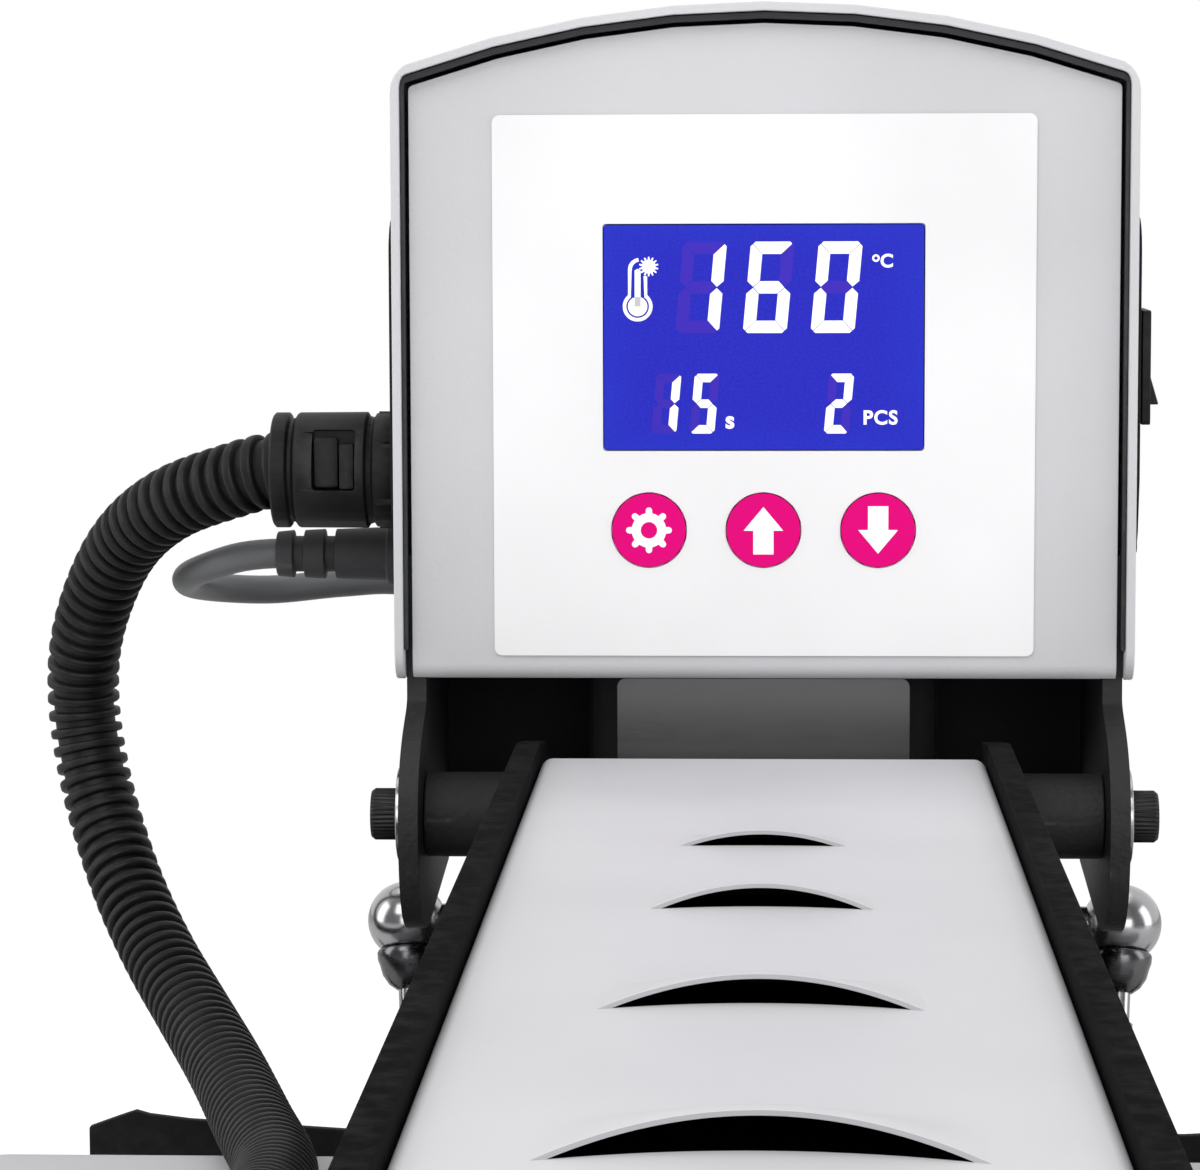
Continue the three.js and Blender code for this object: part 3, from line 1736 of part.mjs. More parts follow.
// Frames carried along a row of points without twist; the first and last ones
// are square to the given directions, where there are any.
function framesAlong(points, first, last) {
  const frames = [];
  let normal = new THREE.Vector3(0, 0, 1);
  points.forEach((point, index) => {
    const before = points[Math.max(index - 1, 0)];
    const after = points[Math.min(index + 1, points.length - 1)];
    const tangent = after.clone().sub(before).normalize();
    if (index === 0 && first) tangent.copy(first);
    if (index === points.length - 1 && last) tangent.copy(last);
    if (index === 0 && Math.abs(tangent.z) > Math.SQRT1_2) normal.set(0, 1, 0);
    normal = normal.clone().addScaledVector(tangent, -normal.dot(tangent)).normalize();
    frames.push({ point, normal, binormal: tangent.clone().cross(normal) });
  });
  return frames;
}

function ringAt({ point, normal, binormal }, radius, sides) {
  return Array.from({ length: sides }, (_, index) => {
    const angle = (2 * Math.PI * index) / sides;
    return point
      .clone()
      .addScaledVector(normal, radius * Math.cos(angle))
      .addScaledVector(binormal, radius * Math.sin(angle));
  });
}

// Skin over a row of rings; with capped ends, or closed on itself.
function skin(rings, closed) {
  const sides = rings[0].length;
  const triangles = [];
  const last = closed ? rings.length : rings.length - 1;
  for (let row = 0; row < last; row += 1) {
    const [near, far] = [rings[row], rings[(row + 1) % rings.length]];
    for (let index = 0; index < sides; index += 1) {
      const next = (index + 1) % sides;
      triangles.push(near[index], near[next], far[index]);
      triangles.push(near[next], far[next], far[index]);
    }
  }
  if (!closed) {
    const [first, end] = [rings[0], rings[rings.length - 1]];
    for (let index = 1; index < sides - 1; index += 1) {
      triangles.push(first[0], first[index + 1], first[index]);
      triangles.push(end[0], end[index], end[index + 1]);
    }
  }
  return new THREE.BufferGeometry().setFromPoints(triangles);
}

function conduitHose() {
  const curve = new THREE.CatmullRomCurve3(points3(hoseRoute), false, "centripetal");
  const ribs = Math.round(curve.getLength() / hose.ribPitch);
  const frames = framesAlong(curve.getSpacedPoints(2 * ribs));
  const outside = frames.map((frame, index) =>
    ringAt(frame, index % 2 ? hose.radius : hose.rootRadius, hose.sides),
  );
  const stations = frames.filter((_, index) => index % (2 * hose.boreEvery) === 0);
  if (stations[stations.length - 1] !== frames[frames.length - 1]) {
    stations.push(frames[frames.length - 1]);
  }
  const inside = stations
    .reverse()
    .map((frame) => ringAt(frame, hose.boreRadius, hose.sides));
  console.log("conduit: " + ribs + " ribs, " + curve.getLength().toFixed(0) + " mm");
  return skin([...outside, ...inside], true);
}

// Points of the coil, from its first turn on the floor to the last.
function coilPoints() {
  const low = cord.radius + floorGap;
  const steps = coil.turns * cord.coilSteps;
  return Array.from({ length: steps + 1 }, (_, step) => {
    const turnsDone = step / cord.coilSteps;
    const angle = Math.PI + 2 * Math.PI * turnsDone;
    return new THREE.Vector3(
      coil.x + coil.radius * Math.cos(angle),
      coil.back + coil.radius * Math.sin(angle),
      low + coil.pitch * turnsDone,
    );
  });
}

// The least gap between two stretches of a tube that are far apart along it.
function leastSelfGap(points, radius) {
  const away = Math.ceil(cord.coilSteps / 3);
  let least = Infinity;
  points.forEach((point, index) => {
    for (let other = index + away; other < points.length; other += 1) {
      least = Math.min(least, point.distanceTo(points[other]) - 2 * radius);
    }
  });
  return least;
}

function cordGroup() {
  const group = new THREE.Group();
  const turns = coilPoints();
  const end = turns[turns.length - 1];
  const lead = points3(plugRoute);
  const leadCurve = new THREE.CatmullRomCurve3([...lead, turns[0]], false, "centripetal");
  const leadPoints = leadCurve.getPoints(lead.length * 3).slice(0, -1);
  const tip = end.clone().add(new THREE.Vector3(0, -coil.lead, 0));
  const coilRow = [...leadPoints, ...turns, tip];
  console.log("coil: least gap " + leastSelfGap(coilRow, cord.radius).toFixed(2) + " mm");
  const coilRings = framesAlong(coilRow).map((frame) =>
    ringAt(frame, cord.radius, cord.coilSides),
  );
  const drop = tip.clone().add(new THREE.Vector3(0, -seat, 0));
  const before = drop.clone().add(new THREE.Vector3(0, -cord.radius, 0));
  const free = new THREE.CatmullRomCurve3(
    [...points3(cordRoute), before, drop],
    false,
    "centripetal",
  );
  const steps = Math.round(free.getLength() / (4 * cord.radius));
  const outwards = new THREE.Vector3(-1, 0, 0);
  const backwards = new THREE.Vector3(0, 1, 0);
  const freeRow = free.getSpacedPoints(steps);
  const freeRings = framesAlong(freeRow, outwards, backwards).map((frame) =>
    ringAt(frame, cord.radius, cord.sides),
  );
  const length = new THREE.CatmullRomCurve3(coilRow).getLength();
  console.log("lead: free " + free.getLength().toFixed(0) + ", coil " + length.toFixed(0));
  group.add(
    piece("power_cord", greyPvc, skin(freeRings, false)),
    piece("power_cord_coil", greyPvc, skin(coilRings, false)),
    piece("mains_plug", greyPvc, mainsPlug(plugRoute[0])),
  );
  return group;
}

// A round earthed plug that lies on the floor at the end of the lead.
function mainsPlug(at) {
  const { radius, length, pin, pinLength, pinPitch } = plug;
  const bore = cord.radius + seat;
  const tail = 2 * radius * 0.6;
  const body = turned(
    [
      [0, radius * 0.6],
      [bore, radius * 0.6],
      [bore, -seat - tail / 2],
      [radius * 0.36, -seat - tail / 2],
      [radius * 0.45, radius * 0.4],
      [radius * 0.8, radius * 0.7],
      [radius, length * 0.7],
      [radius, length],
      [0, length],
    ],
    "y",
    at,
  );
  const pins = sides.map(([, side]) =>
    disc(
      pin,
      [at[1] + length - overrun, at[1] + length + pinLength],
      "y",
      [at[0] + (side * pinPitch) / 2, 0, at[2]],
      smallSteps,
    ),
  );
  return join(body, ...pins);
}

// ---- The whole press ----

const press = new THREE.Group();
press.name = "flat_heat_press";
press.position.y = pivot.back;
press.add(
  baseGroup(),
  piece("column", blackSteel, columnSolid()),
  piece("back_plate", blackSteel, backPlateSolid()),
  earGroup(),
  headGroup(),
  armGroup(),
  platenGroup(),
  latchGroup(),
  switchGroup(),
  piece("conduit_gland", blackPlastic, headGland()),
  piece("strain_relief", blackPlastic, strainRelief()),
  piece("conduit_hose", blackPlastic, conduitHose()),
  cordGroup(),
);
for (const [name, side] of sides) press.add(...strutPair(name, side));

export default press;
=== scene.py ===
"""Flat heat press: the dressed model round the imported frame, its light and its camera.

Every size is in millimetres in the press's own frame: X across, Y back from the
pivot of the lift arms and Z up from the bench. Meshes are put into the row frame,
in metres, when they are made.
"""

from __future__ import annotations

import json
import logging
import math
from dataclasses import dataclass
from enum import Enum
from typing import Callable, Sequence

import bmesh
import bpy
from mathutils import Matrix, Vector
from mathutils.geometry import tessellate_polygon

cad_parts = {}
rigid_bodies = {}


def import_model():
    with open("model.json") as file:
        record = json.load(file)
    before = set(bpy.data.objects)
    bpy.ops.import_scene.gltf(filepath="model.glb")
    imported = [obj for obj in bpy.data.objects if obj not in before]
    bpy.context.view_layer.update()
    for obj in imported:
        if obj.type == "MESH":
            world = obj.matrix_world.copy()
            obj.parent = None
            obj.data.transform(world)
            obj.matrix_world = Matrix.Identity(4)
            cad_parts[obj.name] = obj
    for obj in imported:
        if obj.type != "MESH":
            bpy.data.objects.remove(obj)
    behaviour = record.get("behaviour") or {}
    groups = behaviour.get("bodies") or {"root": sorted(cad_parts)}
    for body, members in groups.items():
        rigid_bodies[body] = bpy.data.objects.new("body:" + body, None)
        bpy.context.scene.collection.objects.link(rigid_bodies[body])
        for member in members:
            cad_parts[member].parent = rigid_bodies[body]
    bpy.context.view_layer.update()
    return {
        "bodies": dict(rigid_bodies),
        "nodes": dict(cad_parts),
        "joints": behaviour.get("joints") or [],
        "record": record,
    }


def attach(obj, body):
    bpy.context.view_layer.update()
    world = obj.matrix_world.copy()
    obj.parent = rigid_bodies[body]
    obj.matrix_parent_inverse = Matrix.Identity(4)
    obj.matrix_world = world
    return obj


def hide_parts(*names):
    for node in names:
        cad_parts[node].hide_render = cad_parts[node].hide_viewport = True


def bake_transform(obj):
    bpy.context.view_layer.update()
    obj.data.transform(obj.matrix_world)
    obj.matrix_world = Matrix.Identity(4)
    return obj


LOG = logging.getLogger("heat_press")
LOG.setLevel(logging.INFO)

MM = 0.001  # metres in a millimetre
PIVOT_BACK = 237.5  # the pivot's place along Y in the row frame
PIVOT_UP = 258.5  # height of the pivot
ARM_OUTER = 61.2  # outer face of a lift arm, across
CLEAR = 0.3  # gap between pieces that don't touch
PRINT = 0.04  # thickness of print
SIDES = (("left", -1), ("right", 1))
FINE = 64  # facets round a large turned piece
ROUND = 40  # facets round a small one
CORNER_STEPS = 8  # facets round a rectangle's corner
WELD = 1e-7  # metres within which points are one
SOLID_WELD = 1e-6  # the same in a frame solid
FLAT = 0.5  # degrees within which faces of a frame solid are one
NONE = 1e-6  # a radius that counts as none
SMOOTH_ANGLE = math.radians(32)  # edges over it stay sharp
BEVEL_ANGLE = math.radians(40)  # edges over it get a bevel
FONT_WEIGHT = 0.03  # how much bolder print is than its font
QUARTER = math.pi / 2

Thing = bpy.types.Object
Node = bpy.types.Node
Socket = bpy.types.NodeSocket
Tree = bpy.types.NodeTree
Point = Sequence[float]
Pair = tuple[float, float]
Outline = list[Pair]
Colour = tuple[float, float, float]


class Axis(Enum):
    """Direction that a prism or a turned piece runs along."""

    X = "x"
    Y = "y"
    Z = "z"

    def at(self, u: float, v: float, along: float) -> Vector:
        """A point from its coordinates across the axis, in the frame's order, and along it."""
        if self is Axis.X:
            return Vector((along, u, v))
        if self is Axis.Y:
            return Vector((u, along, v))
        return Vector((u, v, along))


# ---- Meshes ----


def to_row(point: Point) -> Vector:
    """The place in the row frame, in metres, of a point of the press's frame."""
    x, y, z = point
    return Vector((x, y + PIVOT_BACK, z)) * MM


def linked(name: str, data: bpy.types.ID) -> Thing:
    """A new object of some data, in the scene."""
    made = bpy.data.objects.new(name, data)
    bpy.context.scene.collection.objects.link(made)
    return made


def cleaned(mesh: bpy.types.Mesh, weld: float = WELD, flat: float = 0.0) -> bpy.types.Mesh:
    """The mesh with its doubles merged and its faces looking outwards.

    Args:
        mesh: the mesh.
        weld: metres within which points are one, or 0.
        flat: degrees within which neighbouring faces are one, or 0.

    Returns:
        The same mesh.
    """
    work = bmesh.new()
    work.from_mesh(mesh)
    if weld:
        bmesh.ops.remove_doubles(work, verts=work.verts, dist=weld)
    if flat:
        limit = math.radians(flat)
        bmesh.ops.dissolve_limit(work, angle_limit=limit, verts=work.verts, edges=work.edges)
    bmesh.ops.recalc_face_normals(work, faces=work.faces)
    work.to_mesh(mesh)
    work.free()
    return mesh


def mesh_object(name: str, points: Sequence[Point], faces: Sequence[Sequence[int]]) -> Thing:
    """A new object from points of the press's frame and rows of their indices."""
    mesh = bpy.data.meshes.new(name)
    mesh.from_pydata([to_row(p) for p in points], [], [list(f) for f in faces])
    return linked(name, cleaned(mesh))


def modify(made: Thing, kind: str, **settings: object) -> None:
    """Adds a modifier of a kind to an object, with its settings by name."""
    step = made.modifiers.new(kind.lower(), kind)
    for name, value in settings.items():
        setattr(step, name, value)


def baked(made: Thing) -> Thing:
    """The object with its modifiers turned into plain mesh."""
    graph = bpy.context.evaluated_depsgraph_get()
    graph.update()
    mesh = bpy.data.meshes.new_from_object(
        made.evaluated_get(graph), preserve_all_data_layers=True, depsgraph=graph
    )
    made.modifiers.clear()
    old = made.data
    made.data = mesh
    if old.users == 0:
        bpy.data.meshes.remove(old)
    mesh.name = made.name
    return made


def smoothed(made: Thing, angle: float = SMOOTH_ANGLE) -> Thing:
    """The object shaded smooth, with edges over the angle kept sharp."""
    made.data.shade_smooth()
    made.data.set_sharp_from_angle(angle=angle)
    return made


def bevelled(made: Thing, width: float, segments: int = 2) -> Thing:
    """A closed mesh with its sharp edges rounded, its flat faces shaded flat.

    Args:
        made: the mesh's object.
        width: width of the bevel in millimetres.
        segments: facets across each bevel.

    Returns:
        The same object, baked.
    """
    smoothed(made)
    modify(
        made,
        "BEVEL",
        width=width * MM,
        segments=segments,
        limit_method="ANGLE",
        angle_limit=BEVEL_ANGLE,
        harden_normals=True,
        use_clamp_overlap=True,
    )
    return baked(made)


def prism(
    name: str,
    outline: Outline,
    axis: Axis,
    span: Pair,
    holes: Sequence[Outline] = (),
    bevel: float = 0.0,
    segments: int = 2,
) -> Thing:
    """A straight piece with one outline, and holes through it.

    Args:
        name: the piece's name.
        outline: its outline across the axis.
        axis: the axis that it runs along.
        span: where it starts and ends on the axis.
        holes: outlines of the holes.
        bevel: width of the bevel on its edges, or 0.
        segments: facets across the bevel.

    Returns:
        The closed piece.
    """
    rings = [list(outline), *[list(h) for h in holes]]
    flat = [p for ring in rings for p in ring]
    count = len(flat)
    fill = tessellate_polygon([[Vector((u, v, 0)) for u, v in ring] for ring in rings])
    points = [axis.at(u, v, along) for along in span for u, v in flat]
    faces = [list(t) for t in fill] + [[i + count for i in reversed(t)] for t in fill]
    start = 0
    for ring in rings:
        size = len(ring)
        for i in range(size):
            a, b = start + i, start + (i + 1) % size
            faces.append([a, b, b + count, a + count])
        start += size
    made = mesh_object(name, points, faces)
    return bevelled(made, bevel, segments) if bevel else smoothed(made)


def turned(
    name: str,
    profile: Sequence[Pair],
    axis: Axis,
    centre: Pair,
    steps: int = FINE,
    bevel: float = 0.0,
    wave: Callable[[float, float], float] | None = None,
) -> Thing:
    """A piece turned round an axis from its profile.

    Args:
        name: the piece's name.
        profile: radius and place along the axis of each point, in order; closed on
            itself if it doesn't start and end on the axis.
        axis: the axis that it is turned round.
        centre: where the axis lies across itself.
        steps: facets round it.
        bevel: width of the bevel on its edges, or 0.
        wave: change of the radius for an angle and a radius, or None.

    Returns:
        The closed piece.
    """
    points: list[Vector] = []
    rings: list[list[int]] = []
    for radius, along in profile:
        rings.append([])
        for step in range(steps if radius > NONE else 1):
            angle = math.tau * step / steps
            r = radius + (wave(angle, radius) if wave else 0.0)
            u, v = centre[0] + r * math.cos(angle), centre[1] + r * math.sin(angle)
            rings[-1].append(len(points))
            points.append(axis.at(u, v, along))
    pairs = list(zip(rings, rings[1:]))
    if len(rings[0]) > 1 or len(rings[-1]) > 1:
        pairs.append((rings[-1], rings[0]))
    faces = []
    for near, far in pairs:
        for step in range(steps if max(len(near), len(far)) > 1 else 0):
            after = (step + 1) % steps
            if len(near) == 1:
                faces.append([near[0], far[step], far[after]])
            elif len(far) == 1:
                faces.append([near[step], near[after], far[0]])
            else:
                faces.append([near[step], near[after], far[after], far[step]])
    made = mesh_object(name, points, faces)
    return bevelled(made, bevel, 3) if bevel else smoothed(made)


def cut(solid: Thing, tool: Thing) -> Thing:
    """The solid, shaded smooth, with another cut out of it, which is removed."""
    modify(solid, "BOOLEAN", operation="DIFFERENCE", solver="EXACT", object=tool)
    baked(solid)
    bpy.data.objects.remove(tool, do_unlink=True)
    return smoothed(solid)


def welded_copy(name: str, node: Thing) -> Thing:
    """A copy of a frame solid, on no body, with its flat faces whole again."""
    mesh = cleaned(node.data.copy(), SOLID_WELD, FLAT)
    mesh.materials.clear()
    return linked(name, mesh)


def joined(name: str, parts: Sequence[Thing]) -> Thing:
    """One object that holds the meshes of several, which are removed."""
    work = bmesh.new()
    for part in parts:
        work.from_mesh(part.data)
    mesh = bpy.data.meshes.new(name)
    work.to_mesh(mesh)
    work.free()
    for part in parts:
        bpy.data.objects.remove(part, do_unlink=True)
    return smoothed(linked(name, mesh))


# ---- Outlines ----


def arc(centre: Pair, radii: Pair, start: float, sweep: float, steps: int) -> Outline:
    """Points of an arc, with both its ends.

    Args:
        centre: its middle.
        radii: its radius across and upwards.
        start: angle of its first point.
        sweep: angle from there to its last point.
        steps: count of stretches between its points.

    Returns:
        The points in order.
    """
    turns = [start + sweep * i / steps for i in range(steps + 1)]
    return [(centre[0] + radii[0] * math.cos(t), centre[1] + radii[1] * math.sin(t)) for t in turns]


def circle(radius: float, centre: Pair, steps: int = FINE, turn: float = 0.0) -> Outline:
    """A circle, or a regular polygon with few steps."""
    return arc(centre, (radius, radius), turn, math.tau, steps)[:-1]


def rounded(width: float, height: float, radius: float, centre: Pair = (0.0, 0.0)) -> Outline:
    """The outline, anticlockwise, of a rectangle with round corners."""
    points: Outline = []
    for quarter, (sx, sy) in enumerate(((1, 1), (-1, 1), (-1, -1), (1, -1))):
        corner = (centre[0] + sx * (width / 2 - radius), centre[1] + sy * (height / 2 - radius))
        points += arc(corner, (radius, radius), quarter * QUARTER, QUARTER, CORNER_STEPS)
    return points


def span_on(side: int, start: float, end: float) -> Pair:
    """A stretch along X on one side of the middle."""
    return (start, end) if side > 0 else (-end, -start)


def sided(side: int, profile: Sequence[Pair]) -> list[Pair]:
    """A profile along X for one side of the middle."""
    return [(radius, side * along) for radius, along in profile]


def through(route: Sequence[Point], steps: int = 12) -> list[Vector]:
    """Points of the smooth curve through a route.

    Args:
        route: the points that it passes.
        steps: how many points each stretch gets.

    Returns:
        The points, the last of the route included.
    """
    knots = [Vector(p) for p in route]
    ends = [2 * knots[0] - knots[1], *knots, 2 * knots[-1] - knots[-2]]
    line: list[Vector] = []
    for a, b, c, d in zip(ends, ends[1:], ends[2:], ends[3:]):
        da, db, dc = (math.sqrt((q - p).length) for p, q in ((a, b), (b, c), (c, d)))
        leave = ((b - a) / da - (c - a) / (da + db) + (c - b) / db) * db
        reach = ((c - b) / db - (d - b) / (db + dc) + (d - c) / dc) * db
        for step in range(steps):
            t = step / steps
            tt, ttt = t * t, t * t * t
            spot = (2 * ttt - 3 * tt + 1) * b + (ttt - 2 * tt + t) * leave
            line.append(spot + (3 * tt - 2 * ttt) * c + (ttt - tt) * reach)
    line.append(knots[-1])
    return line


def length_of(line: Sequence[Vector]) -> float:
    """Length of a row of points."""
    return sum((b - a).length for a, b in zip(line, line[1:]))


# ---- Shader and geometry nodes ----


class Graph:
    """A node tree under construction."""

    def __init__(self, tree: Tree) -> None:
        """Starts on an empty tree."""
        self.tree = tree
        tree.nodes.clear()

    def add(self, kind: str, **settings: object) -> Node:
        """A new node.

        Args:
            kind: the node's type.
            **settings: its properties, and its inputs by name with spaces as underscores.

        Returns:
            The node.
        """
        node = self.tree.nodes.new(kind)
        for name, value in settings.items():
            if hasattr(node, name):
                setattr(node, name, value)
            else:
                self.feed(node, name.replace("_", " "), value)
        return node

    def feed(self, node: Node, socket: str | int, value: object) -> None:
        """Sets an input, or links it where the value is a socket."""
        target = node.inputs[socket]
        if isinstance(value, Socket):
            self.tree.links.new(value, target)
        else:
            target.default_value = value

    def fed(self, kind: str, inputs: dict[int, object], **settings: object) -> Node:
        """A new node with its settings, and its inputs by number."""
        node = self.add(kind, **settings)
        for socket, value in inputs.items():
            self.feed(node, socket, value)
        return node

    def math(self, kind: str, first: object, second: object = 0.0, clamp: bool = False) -> Socket:
        """The output of a math node on two values or sockets."""
        given = {0: first, 1: second}
        return self.fed("ShaderNodeMath", given, operation=kind, use_clamp=clamp).outputs[0]

    def times(self, first: object, second: object) -> Socket:
        """The product of two values or sockets."""
        return self.math("MULTIPLY", first, second)

    def blend(self, share: object, first: object, second: object) -> Socket:
        """The output of a colour mix, whose colours are inputs 6 and 7 and output 2."""
        given = {0: share, 6: first, 7: second}
        return self.fed("ShaderNodeMix", given, data_type="RGBA").outputs[2]

    def ramp(self, value: object, low: float, high: float, *ends: float) -> Socket:
        """A value taken from one range to another, 0 to 1 by default, and clamped there."""
        given = dict(enumerate((value, low, high, *(ends or (0.0, 1.0)))))
        return self.fed("ShaderNodeMapRange", given).outputs[0]

    def where(self) -> Socket:
        """The place on the object, in metres."""
        return self.add("ShaderNodeTexCoord").outputs["Object"]

    def noise(self, place: Socket, scale: object, **settings: object) -> Socket:
        """The output of a noise texture."""
        return self.add("ShaderNodeTexNoise", Vector=place, Scale=scale, **settings).outputs[0]

    def bump(self, strength: float, relief: float, height: Socket) -> Socket:
        """The normal of a bumpy surface, its relief in millimetres."""
        given = {"Strength": strength, "Distance": relief * MM, "Height": height}
        return self.add("ShaderNodeBump", **given).outputs[0]


def effect(
    name: str,
    entry: str,
    value: float,
    outputs: Sequence[str],
    build: Callable[[Graph, Socket, Node], None],
) -> Tree:
    """A shader node group that several finishes share, built once.

    Args:
        name: the group's name.
        entry: name of its one number.
        value: what that number is at first.
        outputs: names of the values that it gives.
        build: wires the group from that number to its output node.

    Returns:
        The group.
    """
    tree = bpy.data.node_groups.get(name)
    if tree is not None:
        return tree
    tree = bpy.data.node_groups.new(name, "ShaderNodeTree")
    face = tree.interface
    face.new_socket(entry, in_out="INPUT", socket_type="NodeSocketFloat").default_value = value
    for label in outputs:
        face.new_socket(label, in_out="OUTPUT", socket_type="NodeSocketFloat")
    graph = Graph(tree)
    build(graph, graph.add("NodeGroupInput").outputs[0], graph.add("NodeGroupOutput"))
    return tree


def build_grain(graph: Graph, scale: Socket, sink: Node) -> None:
    """Fine pebbles of sprayed powder or moulded plastic, with broad unevenness."""
    where = graph.where()
    cells = graph.add(
        "ShaderNodeTexVoronoi", feature="SMOOTH_F1", Vector=where, Scale=scale, Smoothness=0.6
    )
    fine = graph.noise(where, graph.times(scale, 0.45), Detail=3.0, Roughness=0.6)
    broad = graph.noise(where, 14.0, Detail=2.0)
    pebbles = graph.times(cells.outputs["Distance"], 0.7)
    graph.feed(sink, "Height", graph.math("ADD", pebbles, fine))
    graph.feed(sink, "Fleck", graph.ramp(fine, 0.52, 0.72))
    graph.feed(sink, "Broad", graph.ramp(broad, 0.3, 0.7))


def build_dust_and_edge_highlight(graph: Graph, amount: Socket, sink: Node) -> None:
    """Lighter convex edges, a painted edge highlight that also stands for worn paint, and where
    dust has settled.
    """
    where = graph.where()
    edge = graph.add("ShaderNodeNewGeometry").outputs["Pointiness"]
    patch = graph.noise(where, 160.0, Detail=4.0, Roughness=0.65)
    # Convex edges made lighter: painted edge highlight, with worn paint as well.
    highlit_edges = graph.times(graph.ramp(edge, 0.53, 0.6), graph.ramp(patch, 0.42, 0.62))
    graph.feed(sink, "Edge", graph.math("MULTIPLY", highlit_edges, amount, clamp=True))
    haze = graph.noise(where, 38.0, Detail=5.0, Roughness=0.7)
    graph.feed(sink, "Dust", graph.times(graph.ramp(haze, 0.5, 0.8), amount))


def grain_effect() -> Tree:
    """The grain group: a height, a mask of flecks and a mask of broad patches."""
    return effect("surface_grain", "Scale", 2600.0, ("Height", "Fleck", "Broad"), build_grain)


def dust_and_edge_highlight_effect() -> Tree:
    """The group of a mask of lighter edges, a painted edge highlight with worn paint, and one of
    dust.
    """
    return effect("edge_wear", "Amount", 0.3, ("Edge", "Dust"), build_dust_and_edge_highlight)


# ---- Finishes ----


def linear(red: int, green: int, blue: int) -> Colour:
    """The linear colour of one given in display values from 0 to 255."""
    shares = (c / 255 for c in (red, green, blue))
    return tuple(c / 12.92 if c <= 0.04045 else ((c + 0.055) / 1.055) ** 2.4 for c in shares)


def scaled(colour: Colour, factor: float = 1.0) -> tuple[float, float, float, float]:
    """The colour times a factor, with full alpha."""
    return (*[min(1.0, c * factor) for c in colour], 1.0)


class Sheen(Enum):
    """Roughness and specular level of a coated or moulded surface."""

    MATT = (0.62, 0.35)
    SEMI = (0.52, 0.26)
    SATIN = (0.45, 0.45)
    FLAT = (0.7, 0.1)
    DULL = (0.7, 0.12)
    DEAD = (0.8, 0.02)


@dataclass(frozen=True)
class Finish:
    """The look of a surface, with one node material.

    Args:
        name: the material's name.
        colour: its main colour.
    """

    name: str
    colour: Colour

    def surface(self, graph: Graph) -> Node:
        """Wires the look and returns its shader node."""
        raise NotImplementedError

    def material(self) -> bpy.types.Material:
        """The material of this finish, made once."""
        made = bpy.data.materials.get(self.name)
        if made is None:
            made = bpy.data.materials.new(self.name)
            made.use_nodes = True
            graph = Graph(made.node_tree)
            graph.add("ShaderNodeOutputMaterial", Surface=self.surface(graph).outputs[0])
            made.diffuse_color = scaled(self.colour)
        return made


@dataclass(frozen=True)
class Coating(Finish):
    """A paint, plastic, rubber or printed film.

    Args:
        sheen: how it takes light.
        grain: count of grains in a metre.
        relief: height of the grain in millimetres.
        fleck: how much lighter the flecks are.
        wear_and_highlight: share of lighter edges (a painted edge highlight with worn paint) and
            dust.
        glow: strength of its own light.
    """

    PATCHES = (0.95, 1.03)  # tones of the broad patches
    UNEVEN = (-0.04, 0.05)  # change of roughness over them
    DUST_AND_HIGHLIGHT_TONE = 0.75
    DUST_AND_HIGHLIGHT_DEPTH = 0.35  # how far dust and the painted edge highlight take the colour to its tone
    DUST = 0.12  # most dust
    EDGE_HIGHLIGHT = 0.5  # how far a lighter edge shows: painted edge highlight, with worn paint

    sheen: Sheen
    grain: float
    relief: float
    fleck: float
    wear_and_highlight: float
    glow: float = 0.0

    def surface(self, graph: Graph) -> Node:
        """Wires broad unevenness, flecks, dust and lighter edges (painted edge highlight with worn
        paint) over the colour.
        """
        rough, specular = self.sheen.value
        grain = graph.add("ShaderNodeGroup", node_tree=grain_effect(), Scale=self.grain).outputs
        wear_and_highlight = graph.add("ShaderNodeGroup", node_tree=dust_and_edge_highlight_effect(), Amount=self.wear_and_highlight).outputs
        pale = (*[c + (self.DUST_AND_HIGHLIGHT_TONE - c) * self.DUST_AND_HIGHLIGHT_DEPTH for c in self.colour], 1.0)
        tint = graph.blend(grain["Broad"], *(scaled(self.colour, tone) for tone in self.PATCHES))
        layers = (
            (grain["Fleck"], self.fleck, scaled(self.colour, 1.0 + 4 * self.fleck)),
            (wear_and_highlight["Dust"], self.DUST, pale),
            # Lighter edges: painted edge highlight, with worn paint as well.
            (wear_and_highlight["Edge"], self.EDGE_HIGHLIGHT, pale),
        )
        for mask, share, shade in layers:
            tint = graph.blend(graph.times(mask, share), tint, shade)
        low, high = (rough + change for change in self.UNEVEN)
        made = graph.add(
            "ShaderNodeBsdfPrincipled",
            Base_Color=tint,
            Roughness=graph.ramp(grain["Broad"], 0.0, 1.0, low, high),
            Specular_IOR_Level=specular,
            Normal=graph.bump(0.6, self.relief, grain["Height"]),
        )
        if self.glow:
            graph.feed(made, "Emission Color", tint)
            graph.feed(made, "Emission Strength", self.glow)
        return made


